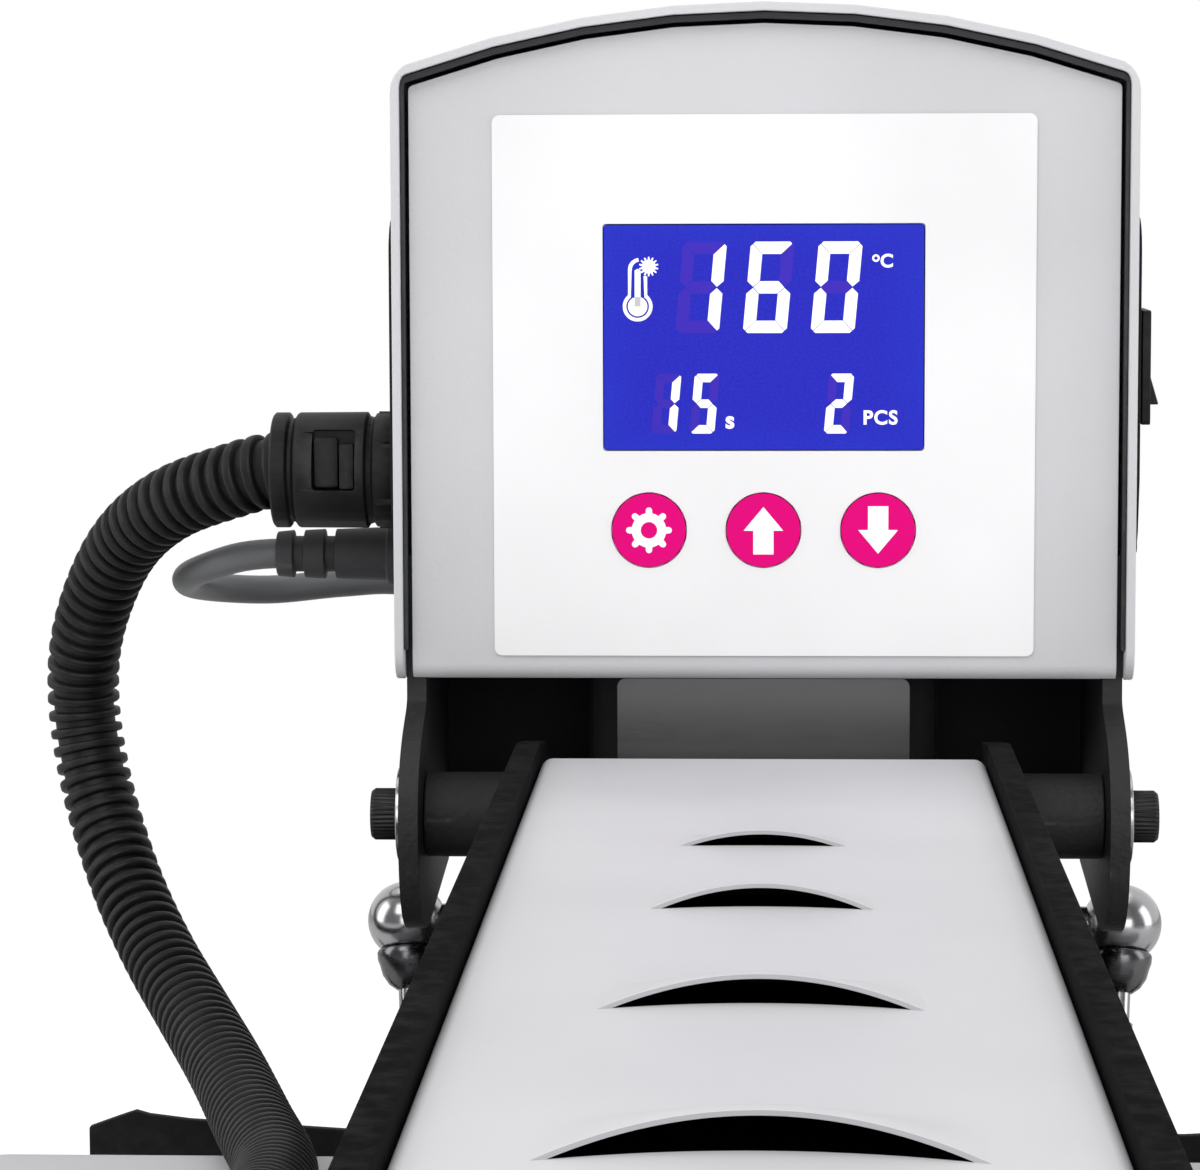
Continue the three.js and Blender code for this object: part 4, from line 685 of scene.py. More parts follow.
@dataclass(frozen=True)
class Metal(Finish):
    """A bare or plated metal.

    Args:
        rough: its roughness.
        scratch: how far fine scratches raise the roughness.
        relief: height of the machining marks in millimetres.
    """

    STRETCH = (1.0, 14.0, 14.0)  # the lines are longer along X
    STREAKS = (0.94, 1.04)  # tones of the lines
    DULLED = 0.7  # tone under dust

    rough: float
    scratch: float
    relief: float

    def surface(self, graph: Graph) -> Node:
        """Wires fine lines and dust over the metal."""
        spread = graph.add("ShaderNodeMapping", Vector=graph.where(), Scale=self.STRETCH)
        lines = graph.noise(spread.outputs[0], 240.0, Detail=4.0)
        dust = graph.add("ShaderNodeGroup", node_tree=dust_and_edge_highlight_effect(), Amount=0.5).outputs["Dust"]
        tint = graph.blend(lines, *(scaled(self.colour, tone) for tone in self.STREAKS))
        tint = graph.blend(graph.times(dust, 0.2), tint, scaled(self.colour, self.DULLED))
        streak = graph.ramp(lines, 0.35, 0.75, self.rough, self.rough + self.scratch)
        return graph.add(
            "ShaderNodeBsdfPrincipled",
            Base_Color=tint,
            Metallic=1.0,
            Roughness=graph.math("ADD", streak, graph.times(dust, 0.15)),
            Normal=graph.bump(0.4, self.relief, lines),
        )


@dataclass(frozen=True)
class Backlit(Finish):
    """Lit glass of the display, mottled, brighter towards its rim.

    Args:
        rim: its colour near the rim.
        half: half its width and height, in metres.
        middle: the height of its middle, in metres.
        glow: strength of its own light.
    """

    rim: Colour
    half: Pair
    middle: float
    glow: float = 0.06

    def surface(self, graph: Graph) -> Node:
        """Wires the brighter rim and the specks, with a faint light of their own."""
        where = graph.where()
        shift = graph.add("ShaderNodeMapping", Vector=where, Location=(0.0, 0.0, -self.middle))
        axes = graph.add("ShaderNodeSeparateXYZ", Vector=shift.outputs[0]).outputs
        across = graph.math("ABSOLUTE", graph.math("DIVIDE", axes["X"], self.half[0]))
        upward = graph.math("ABSOLUTE", graph.math("DIVIDE", axes["Z"], self.half[1]))
        edge = graph.ramp(graph.math("MAXIMUM", across, upward), 0.72, 1.05, 0.0, 0.7)
        share = graph.times(edge, graph.noise(where, 55.0, Detail=2.0))
        specks = graph.ramp(graph.noise(where, 1500.0, Detail=2.0), 0.35, 0.7, 0.0, 0.35)
        tint = graph.blend(share, scaled(self.colour), scaled(self.rim))
        tint = graph.blend(specks, tint, scaled(self.rim, 1.15))
        return graph.add(
            "ShaderNodeBsdfPrincipled",
            Base_Color=tint,
            Roughness=0.45,
            Specular_IOR_Level=0.06,
            Emission_Color=tint,
            Emission_Strength=self.glow,
        )


POWDER_BLACK = Coating("black_powder_coat", linear(27, 27, 28), Sheen.DULL, 1700.0, 0.06, 0.03, 0.1)
# A lighter copy of the black coat, on the ears and spacers: painted highlight over their rough
# texture.
ROUGH_BLACK_HIGHLIT = Coating("black_rough_coat", linear(34, 34, 35), Sheen.MATT, 700.0, 0.35, 0.15, 0.3)
# A darker copy of the black powder coat, on the arms: painted shade.
SHADED_ARM_BLACK = Coating("black_arm_coat", linear(20, 20, 21), Sheen.DEAD, 1500.0, 0.03, 0.1, 0.2)
POWDER_GREY = Coating(
    "pale_grey_powder_coat", linear(205, 205, 208), Sheen.MATT, 1500.0, 0.06, 0.05, 0.1
)
SMOOTH_GREY = Coating(
    "pale_grey_cover_coat", linear(210, 210, 212), Sheen.SATIN, 900.0, 0.015, 0.03, 0.08
)
LINER = Coating("charcoal_liner", linear(46, 46, 48), Sheen.MATT, 2400.0, 0.05, 0.15, 0.2)
FILM = Coating("white_membrane", linear(240, 240, 241), Sheen.DULL, 3000.0, 0.004, 0.01, 0.0)
MAGENTA = Coating("magenta_key", linear(228, 0, 124), Sheen.FLAT, 2500.0, 0.006, 0.02, 0.0)
# Its faint glow is the backlight on the display's figures and painted light on the key signs.
INK = Coating("white_print", linear(252, 252, 252), Sheen.SATIN, 2500.0, 0.003, 0.0, 0.0, 0.12)
MOULDED = Coating("black_moulding", linear(11, 11, 12), Sheen.SEMI, 3200.0, 0.03, 0.15, 0.25)
CONDUIT = Coating("black_conduit", linear(13, 13, 14), Sheen.SEMI, 1800.0, 0.03, 0.2, 0.45)
RELIEF = Coating("dark_grey_moulding", linear(54, 54, 56), Sheen.MATT, 2600.0, 0.03, 0.1, 0.25)
GREY_CORD = Coating("grey_cord_jacket", linear(98, 99, 101), Sheen.SATIN, 1800.0, 0.02, 0.08, 0.2)
UNLIT = Coating(
    "display_unlit_segments", linear(62, 44, 176), Sheen.FLAT, 3000.0, 0.003, 0.02, 0.0, 0.12
)
# Near-black painted shade for the cover's underside and the sheet below it.
SHADE_LINING = Coating("cover_lining", linear(14, 14, 14), Sheen.MATT, 1500.0, 0.02, 0.05, 0.0)
# Darker grey of the slits' cut edges, which are painted like the cover: painted shade of edges
# facing front.
SHADED_CUT_EDGE = Coating("cover_cut_edge", linear(178, 178, 181), Sheen.DULL, 1200.0, 0.02, 0.05, 0.1)
RUBBER = Coating("black_rubber", linear(22, 22, 22), Sheen.MATT, 1400.0, 0.08, 0.15, 0.3)
SILICONE = Coating("red_silicone_sponge", linear(172, 74, 42), Sheen.MATT, 900.0, 0.2, 0.15, 0.2)
FIBRE = Coating("mineral_fibre", linear(226, 221, 208), Sheen.MATT, 500.0, 0.5, 0.1, 0.1)
BOARD = Coating("green_board", linear(28, 100, 54), Sheen.SATIN, 1200.0, 0.02, 0.2, 0.1)
CHROME = Metal("bright_chrome", (0.42, 0.42, 0.43), 0.17, 0.1, 0.004)
# Darker chrome for the strut cups: painted shade under the balls.
SHADED_CHROME = Metal("smoked_chrome", (0.13, 0.13, 0.135), 0.2, 0.1, 0.004)
ZINC = Metal("zinc_plate", (0.56, 0.57, 0.58), 0.28, 0.14, 0.01)
OXIDE = Metal("black_oxide", (0.05, 0.05, 0.053), 0.42, 0.15, 0.01)
BURNISHED = Metal("satin_black_face", (0.13, 0.13, 0.132), 0.3, 0.1, 0.004)
ALUMINIUM = Metal("machined_aluminium", (0.6, 0.61, 0.62), 0.34, 0.16, 0.02)
GLASS = Backlit("lit_display", linear(41, 38, 178), linear(36, 60, 196), (0.04015, 0.02825), 0.3799)

SLOT_FINISH: dict[str, Finish] = {
    "black_steel": POWDER_BLACK,
    "grey_paint": POWDER_GREY,
    "charcoal_trim": LINER,
    "label_white": FILM,
    "lcd_blue": GLASS,
    "key_magenta": MAGENTA,
    "black_plastic": MOULDED,
    "conduit_black": CONDUIT,
    "grey_pvc": GREY_CORD,
    "chrome_steel": CHROME,
    "black_oxide": OXIDE,
    "zinc_steel": ZINC,
    "cast_aluminium": ALUMINIUM,
    "silicone": SILICONE,
    "mineral_fibre": FIBRE,
    "board_green": BOARD,
    "rubber_black": RUBBER,
}


# ---- Pieces ----


@dataclass
class Part:
    """Some pieces of the press, made together.

    Args:
        frame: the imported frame.
    """

    frame: dict

    def dress(
        self, piece: Thing, body: str, slot: str, *nodes: str, finish: Finish | None = None
    ) -> Thing:
        """Gives a finished piece its material and its body, and hides the frame solids that it
        replaces.

        Args:
            piece: the piece, in place.
            body: the body that it rides on.
            slot: the record's material slot.
            *nodes: the frame solids that it replaces.
            finish: its finish, where it isn't the slot's own.

        Returns:
            The piece.
        """
        piece.data.materials.clear()
        piece.data.materials.append((finish or SLOT_FINISH[slot]).material())
        for polygon in piece.data.polygons:
            polygon.material_index = 0
        if nodes:
            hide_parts(*nodes)
        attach(piece, body)
        LOG.info("%s: %d faces on %s", piece.name, len(piece.data.polygons), body)
        return piece

    def build(self) -> None:
        """Makes and dresses the pieces."""
        raise NotImplementedError


# ---- Plain pieces: frame solids with rounded edges ----


def draw_in(piece: Thing) -> None:
    """Draws the outer walls of the head in towards the middle plane, by a millimetre at most."""
    start, full = 90.0, 92.1
    for vertex in piece.data.vertices:
        share = (abs(vertex.co.x) / MM - start) / (full - start)
        vertex.co.x -= math.copysign(min(1.0, max(0.0, share)) * MM, vertex.co.x)


def draft(piece: Thing) -> None:
    """Leans a pressed cover's front and rear walls in towards its top."""
    depth, reach = 13.5 * MM, 30.0 * MM
    spots = [vertex.co for vertex in piece.data.vertices]
    low, high = min(p.z for p in spots), max(p.z for p in spots)
    start, end = min(p.y for p in spots), max(p.y for p in spots)
    for spot in spots:
        lean = depth * (spot.z - low) / (high - low)
        if spot.y < start + reach:
            spot.y += lean
        elif spot.y > end - reach:
            spot.y -= lean


def settle(piece: Thing) -> None:
    """Lowers the top edge of the back plate and draws its ends out."""
    drop, spread, band = 6.0 * MM, 1.028, 8.0 * MM
    top = max(vertex.co.z for vertex in piece.data.vertices)
    for vertex in piece.data.vertices:
        vertex.co.x *= spread
        if vertex.co.z > top - band:
            vertex.co.z -= drop


@dataclass
class PlainPieces(Part):
    """Frame solids whose own form is right, shown with rounded edges and their finish."""

    EDGES = {
        "base_frame": 0.8,
        "back_plate": 0.5,
        "head_back": 0.3,
        "side_plate_left": 0.4,
        "side_plate_right": 0.4,
        "hood": 0.45,
        "head_liner": 0.15,
        "front_panel": 0.2,
        "arm_frame": 0.5,
        "handle_bar": 0.4,
        "platen_cover": 0.4,
        "heating_platen": 0.4,
        "platen_insulation": 0.5,
        "terminal_box": 0.8,
        "terminal_gland": 0.4,
        "electromagnet": 0.4,
        "striker_plate": 0.5,
        "lower_platen": 0.8,
        "silicone_pad": 1.6,
        "control_board": 0.1,
        "switch_body": 0.3,
        "rocker_key": 0.4,
        "pivot_shaft": 0.2,
        "mains_plug": 0.6,
        "foot_front_left": 0.8,
        "foot_front_right": 0.8,
        "foot_rear_left": 0.8,
        "foot_rear_right": 0.8,
        "strut_tube_left": 0.4,
        "strut_tube_right": 0.4,
    }
    SHAPED = {
        "hood": draw_in,
        "head_liner": draw_in,
        "head_back": draw_in,
        "side_plate_left": draw_in,
        "side_plate_right": draw_in,
        "platen_cover": draft,
        "back_plate": settle,
    }
    COATED = {"arm_frame": SHADED_ARM_BLACK}

    def build(self) -> None:
        """Makes each piece on its solid's body."""
        record = self.frame["record"]
        held = record["behaviour"]["bodies"].items()
        bodies = {node: body for body, nodes in held for node in nodes}
        slots = {part["node"]: part["material_slot"] for part in record["subparts"]}
        for node, edge in self.EDGES.items():
            piece = welded_copy(node + "_dressed", self.frame["nodes"][node])
            if node in self.SHAPED:
                self.SHAPED[node](piece)
            bevelled(piece, edge)
            self.dress(piece, bodies[node], slots[node], node, finish=self.COATED.get(node))


@dataclass
class Column(Part):
    """Column whose yoke closes up to the ears.

    Args:
        yoke: half the yoke's width in the frame.
        reach: half its width as shown.
    """

    yoke: float = 85.7
    reach: float = 87.2

    def build(self) -> None:
        """Makes the column from its frame solid."""
        piece = welded_copy("column_welded", self.frame["nodes"]["column"])
        for vertex in piece.data.vertices:
            if abs(abs(vertex.co.x) - self.yoke * MM) < 0.05 * MM:
                vertex.co.x = math.copysign(self.reach * MM, vertex.co.x)
        self.dress(bevelled(piece, 0.1), "base", "black_steel", "column")


# ---- Camera, light and floor ----


@dataclass
class Studio:
    """Plain pale floor, soft studio light and the camera.

    Args:
        eye: the camera's place in metres.
        yaw: how far it looks to the left of +Y, in degrees.
        pitch: how far it looks down, in degrees.
        roll: its roll about the line of sight, in degrees.
        lens: its focal length in millimetres, on a sensor 36 wide.
    """

    LAMPS = {  # place and size in metres, power in watts
        "key": ((-0.5, -1.7, 2.1), (1.8, 1.4), 24.0),
        "left_box": ((-1.9, 0.0, 0.9), (0.9, 1.6), 12.0),
        "right_box": ((1.9, -0.1, 0.9), (0.9, 1.6), 12.0),
        "top_box": ((0.0, 0.5, 2.4), (1.6, 1.6), 7.0),
        "front_box": ((0.3, -2.6, 0.8), (2.2, 1.2), 22.0),
    }
    TARGET = Vector((0.0, 0.1, 0.3))
    WHITE = (1.0, 1.0, 1.0, 1.0)

    eye: tuple[float, float, float] = (0.00093, -0.75725, 0.42003)
    yaw: float = 2.434
    pitch: float = 5.889
    roll: float = -0.184
    lens: float = 118.5

    def camera(self) -> None:
        """Sets the camera where the photographer's was."""
        yaw, pitch, roll = (math.radians(a) for a in (self.yaw, self.pitch, self.roll))
        level = math.cos(pitch)
        ahead = Vector((-math.sin(yaw) * level, math.cos(yaw) * level, -math.sin(pitch)))
        right = Vector((math.cos(yaw), math.sin(yaw), 0))
        up = right.cross(ahead)
        across = math.cos(roll) * right + math.sin(roll) * up
        upward = -math.sin(roll) * right + math.cos(roll) * up
        data = bpy.data.cameras.new("camera")
        data.lens = self.lens
        data.sensor_width = 36.0
        data.sensor_fit = "HORIZONTAL"
        data.clip_start = 0.02
        data.clip_end = 60.0
        made = linked("camera", data)
        rows = zip(across, upward, -ahead, self.eye)
        made.matrix_world = Matrix((*rows, (0, 0, 0, 1)))
        bpy.context.scene.camera = made

    def lamps(self) -> None:
        """Sets soft rectangular lamps round the press."""
        for name, (place, size, power) in self.LAMPS.items():
            data = bpy.data.lights.new(name, "AREA")
            data.shape = "RECTANGLE"
            data.size, data.size_y = size
            data.energy = power
            made = linked(name, data)
            made.location = place
            made.rotation_euler = (self.TARGET - Vector(place)).to_track_quat("-Z", "Y").to_euler()

    def world(self) -> None:
        """Grey light all round, white for camera and glass, dimmer in front for what shines."""
        world = bpy.data.worlds.new("studio")
        bpy.context.scene.world = world
        world.use_nodes = True
        graph = Graph(world.node_tree)
        seen = graph.add("ShaderNodeLightPath").outputs
        clear = graph.math("MAXIMUM", seen["Is Camera Ray"], seen["Is Transmission Ray"])
        clear = graph.math("MAXIMUM", clear, seen["Is Glossy Ray"])
        toward = graph.add("ShaderNodeTexCoord").outputs["Generated"]
        back = graph.add("ShaderNodeSeparateXYZ", Vector=toward).outputs["Y"]
        plain = graph.math("SUBTRACT", 1.0, seen["Is Glossy Ray"])
        room = graph.math("MAXIMUM", graph.ramp(back, -0.35, 0.3, 0.22, 1.0), plain)
        ambient = graph.add("ShaderNodeBackground", Color=self.WHITE, Strength=0.5).outputs[0]
        bright = graph.add("ShaderNodeBackground", Color=self.WHITE, Strength=room).outputs[0]
        mix = graph.fed("ShaderNodeMixShader", {0: clear, 1: ambient, 2: bright})
        graph.add("ShaderNodeOutputWorld", Surface=mix.outputs[0])

    def floor(self) -> None:
        """Makes a wide pale floor that looks white and keeps the press's shadow."""
        mesh = bpy.data.meshes.new("floor")
        reach = 12.0
        corners = [(x * reach, y * reach, 0) for x, y in ((-1, -1), (1, -1), (1, 1), (-1, 1))]
        mesh.from_pydata(corners, [], [(0, 1, 2, 3)])
        paint = bpy.data.materials.new("floor_white")
        paint.use_nodes = True
        graph = Graph(paint.node_tree)
        seen = graph.add("ShaderNodeLightPath").outputs["Is Camera Ray"]
        surface = graph.add("ShaderNodeBsdfDiffuse", Color=(0.8, 0.8, 0.8, 1)).outputs[0]
        glow = graph.times(seen, 0.45)
        shine = graph.add("ShaderNodeEmission", Color=self.WHITE, Strength=glow).outputs[0]
        both = graph.fed("ShaderNodeAddShader", {0: surface, 1: shine}).outputs[0]
        away = graph.add("ShaderNodeEmission", Color=self.WHITE).outputs[0]
        size = graph.fed("ShaderNodeVectorMath", {0: graph.where()}, operation="LENGTH")
        share = graph.times(seen, graph.ramp(size.outputs["Value"], 0.7, 1.6))
        far = graph.fed("ShaderNodeMixShader", {0: share, 1: both, 2: away})
        graph.add("ShaderNodeOutputMaterial", Surface=far.outputs[0])
        mesh.materials.append(paint)
        linked("floor", mesh)

    def build(self) -> None:
        """Makes the camera, the world, the floor and the lamps."""
        self.camera()
        self.world()
        self.floor()
        self.lamps()
        bpy.context.scene.view_settings.view_transform = "Standard"


# ---- Tubes ----


class TubeGraph:
    """Geometry nodes that skin a line with a round tube, plain or ribbed."""

    NAME = "ribbed_tube"
    INPUTS = {"Root": 0.004, "Crest": 0.004, "Pitch": 0.01, "Step": 0.002}
    RIB = 0.31  # half a rib's width as a share of the pitch

    def __init__(self) -> None:
        """Builds the node group on first use."""
        self.tree = bpy.data.node_groups.get(self.NAME) or self.built()

    def built(self) -> Tree:
        """The node group: line to curve, even stations, radius by rib, skin, finish."""
        tree = bpy.data.node_groups.new(self.NAME, "GeometryNodeTree")
        face = tree.interface
        face.new_socket("Geometry", in_out="INPUT", socket_type="NodeSocketGeometry")
        for label, value in self.INPUTS.items():
            number = face.new_socket(label, in_out="INPUT", socket_type="NodeSocketFloat")
            number.default_value = value
        face.new_socket("Material", in_out="INPUT", socket_type="NodeSocketMaterial")
        face.new_socket("Geometry", in_out="OUTPUT", socket_type="NodeSocketGeometry")
        graph = Graph(tree)
        given, sink = graph.add("NodeGroupInput").outputs, graph.add("NodeGroupOutput")
        curve = graph.add("GeometryNodeMeshToCurve", Mesh=given["Geometry"]).outputs[0]
        even = graph.add(
            "GeometryNodeResampleCurve", mode="LENGTH", Curve=curve, Length=given["Step"]
        )
        place = graph.add("GeometryNodeSplineParameter").outputs["Length"]
        phase = graph.math("FRACT", graph.math("DIVIDE", place, given["Pitch"]))
        offset = graph.math("DIVIDE", graph.math("SUBTRACT", phase, 0.5), self.RIB)
        square = graph.times(offset, offset)
        bow = graph.math("SUBTRACT", 1.0, graph.times(square, square), clamp=True)
        height = graph.math("SUBTRACT", given["Crest"], given["Root"])
        rise = graph.times(graph.math("SQRT", bow), height)
        ring = graph.add("GeometryNodeCurvePrimitiveCircle", Resolution=32, Radius=1.0)
        skin = graph.add(
            "GeometryNodeCurveToMesh",
            Curve=even.outputs[0],
            Profile_Curve=ring.outputs[0],
            Scale=graph.math("ADD", given["Root"], rise),
            Fill_Caps=True,
        )
        plain = graph.add("GeometryNodeRealizeInstances", Geometry=skin.outputs[0]).outputs[0]
        finish = graph.add("GeometryNodeSetMaterial", Geometry=plain, Material=given["Material"])
        graph.feed(sink, "Geometry", finish.outputs[0])
        return tree

    def tube(self, name: str, line: Sequence[Point], finish: Finish, **sizes: float) -> Thing:
        """A tube along a row of points.

        Args:
            name: the piece's name.
            line: the points of its middle, in the press's frame.
            finish: its finish.
            **sizes: Root, Crest, Pitch and Step in metres.

        Returns:
            The tube as plain mesh.
        """
        mesh = bpy.data.meshes.new(name)
        mesh.from_pydata([to_row(p) for p in line], [(i, i + 1) for i in range(len(line) - 1)], [])
        made = linked(name, mesh)
        step = made.modifiers.new("tube", "NODES")
        step.node_group = self.tree
        values = {**sizes, "Material": finish.material()}
        for item in self.tree.interface.items_tree:
            if item.in_out == "INPUT" and item.name in values:
                step[item.identifier] = values[item.name]
        cleaned(baked(made).data, weld=0.0)
        return smoothed(made, math.radians(60))


@dataclass
class ConduitHose(Part):
    """Ribbed conduit from the head's gland to the platen's.

    Args:
        route: its middle, from gland to gland.
        root: radius between the ribs.
        crest: radius over the ribs.
        pitch: distance from rib to rib.
        stations: rings to each rib.
    """

    route: tuple[Point, ...] = (
        (-106, 35, 344),
        (-117, 35, 344),
        (-128, 35, 344),
        (-140.7, 40, 340.6),
        (-158.4, 52, 333.6),
        (-172.9, 68, 322.1),
        (-182.5, 80, 307),
        (-188.5, 89, 290),
        (-189.5, 92, 273.2),
        (-186.3, 89, 254.3),
        (-181, 82, 239),
        (-173.6, 70, 224.8),
        (-163.5, 52, 212.1),
        (-150.7, 26, 201.7),
        (-137.5, -8, 194.6),
        (-124, -55, 191),
        (-113, -100, 191),
        (-110, -140, 193.5),
        (-110, -166, 196),
        (-110, -184, 196),
        (-110, -203, 196),
    )
    root: float = 8.3
    crest: float = 10.0
    pitch: float = 4.7
    stations: int = 16

    def build(self) -> None:
        """Makes the hose as one curved tube from the base to the arm."""
        line = through(self.route)
        pitch = length_of(line) / round(length_of(line) / self.pitch) * MM
        sizes = {"Root": self.root * MM, "Crest": self.crest * MM, "Pitch": pitch}
        hose = TubeGraph().tube("conduit", line, CONDUIT, Step=pitch / self.stations, **sizes)
        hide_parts("conduit_hose")
        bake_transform(hose)


@dataclass
class MainsLead(Part):
    """Grey mains lead from its strain relief down to the coil behind the press and its plug.

    Args:
        radius: radius of the jacket.
        drop: its free run, from the strain relief to the top of the coil.
        tail: from the plug to the lowest turn of the coil.
        coil: middle of the coil across and back, and the height of its lowest turn.
        turn: radius of a turn.
        pitch: rise from turn to turn.
        turns: how many turns lie on each other.
    """

    TURN_STEPS = 48  # points to a turn
    STEP = 0.0028  # metres between the rings of its skin

    radius: float = 4.0
    drop: tuple[Point, ...] = (
        (-112, 55, 320),
        (-124, 55, 320),
        (-132, 55, 320),
        (-140, 56.5, 319),
        (-149, 63, 316),
        (-157, 75, 312),
        (-159, 90, 308.5),
        (-153, 106, 305.5),
        (-139, 116, 304),
        (-120, 119.5, 305.5),
        (-103, 120, 306),
        (-84, 122, 300),
        (-68, 124, 283),
        (-62, 126, 258),
        (-66, 128, 215),
        (-78, 130, 170),
        (-92, 131, 125),
        (-103, 133, 92),
        (-110, 138, 64),
        (-113.5, 148, 47),
    )
    tail: tuple[Point, ...] = (
        (-121.5, 262, 18.3),
        (-121.5, 251, 18.3),
        (-121.5, 238, 16.5),
        (-120, 218, 9.5),
        (-117.5, 200, 5),
        (-115, 186, 4.4),
    )
    coil: tuple[float, float, float] = (-70.0, 165.0, 4.3)
    turn: float = 44.0
    pitch: float = 8.9
    turns: int = 4

    def winding(self) -> list[Vector]:
        """Points of the coil, from its lowest turn to its top."""
        points = []
        for step in range(self.TURN_STEPS * self.turns + 1):
            share = step / self.TURN_STEPS
            angle = math.pi + math.tau * share
            spot = (self.turn * math.cos(angle), self.turn * math.sin(angle), self.pitch * share)
            points.append(Vector(self.coil) + Vector(spot))
        return points

    def build(self) -> None:
        """Makes the lead as one tube."""
        winding = self.winding()
        tip = winding[-1] + Vector((0, -3, 0))
        down = through([*self.drop, tip + Vector((0, -self.radius, 0)), tip])
        away = through([*self.tail, winding[0]])
        line = [*down, *reversed(winding), *reversed(away[:-1])]
        sizes = {"Root": self.radius * MM, "Crest": self.radius * MM, "Pitch": 0.01}
        lead = TubeGraph().tube("mains_lead", line, GREY_CORD, Step=self.STEP, **sizes)
        self.dress(lead, "base", "grey_pvc", "power_cord", "power_cord_coil")


# ---- Face of the head ----


def lettering(text: str, left: float, base: float, height: float, front: float) -> Thing:
    """Raised print on a face that looks towards the user.

    Args:
        text: what it says.
        left: place of its left side.
        base: height of its foot.
        height: height of its capitals.
        front: place of its front face along Y.

    Returns:
        The print as plain mesh.
    """
    curve = bpy.data.curves.new("lettering", "FONT")
    curve.body = text
    curve.size = 1.0
    curve.extrude = 0.5
    curve.offset = FONT_WEIGHT
    curve.space_character = 1.12
    source = linked("lettering", curve)
    graph = bpy.context.evaluated_depsgraph_get()
    graph.update()
    mesh = bpy.data.meshes.new_from_object(source.evaluated_get(graph))
    bpy.data.objects.remove(source, do_unlink=True)
    bpy.data.curves.remove(curve)
    x0, y0 = (min(v.co[i] for v in mesh.vertices) for i in range(2))
    factor = height / (max(v.co.y for v in mesh.vertices) - y0)
    for vertex in mesh.vertices:
        x, y, z = vertex.co
        across, up = left + (x - x0) * factor, base + (y - y0) * factor
        vertex.co = to_row((across, front + (0.5 - z) * PRINT, up))
    return linked("lettering", cleaned(mesh))


@dataclass
class Digit:
    """Seven-segment digit that leans to the right.

    Args:
        height: its height.
        width: its width at the foot.
        stroke: thickness of a segment.
        gap: half the gap between segments.
        lean: how far it leans, in degrees.
    """

    LIT = {"0": "abcdef", "1": "bc", "2": "abged", "5": "afgcd", "6": "afgecd", "8": "abcdefg"}

    height: float
    width: float
    stroke: float
    gap: float = 0.1
    lean: float = 5.2

    def segments(self) -> dict[str, Outline]:
        """The upright outline of each segment, a to g."""
        w, h, t, g = self.width, self.height, self.stroke, self.gap
        mid, c = h / 2, 0.35 * self.stroke
        top = [(g + c, h), (w - g - c, h), (w - g - c / 2, h - c / 2)]
        top += [(w - t - g / 2, h - t), (t + g / 2, h - t), (g + c / 2, h - c / 2)]
        left = [(0, h - g - c), (c / 2, h - g - c / 2), (t, h - t - g)]
        left += [(t, mid + t / 2 + g), (t / 2, mid + 1.5 * g), (0, mid + t / 2)]
        bar = [(t / 2 + g, mid), (t + g, mid + t / 2), (w - t - g, mid + t / 2)]
        bar += [(w - t / 2 - g, mid), (w - t - g, mid - t / 2), (t + g, mid - t / 2)]
        return {
            "a": top,
            "d": [(u, h - v) for u, v in top],
            "f": left,
            "e": [(u, h - v) for u, v in left],
            "b": [(w - u, v) for u, v in left],
            "c": [(w - u, h - v) for u, v in left],
            "g": bar,
        }

    def shapes(self, text: str, left: float, base: float) -> list[Outline]:
        """Outlines of the lit segments of one digit, in place."""
        slope = math.tan(math.radians(self.lean))
        lit = self.segments()
        return [[(left + u + v * slope, base + v) for u, v in lit[part]] for part in self.LIT[text]]


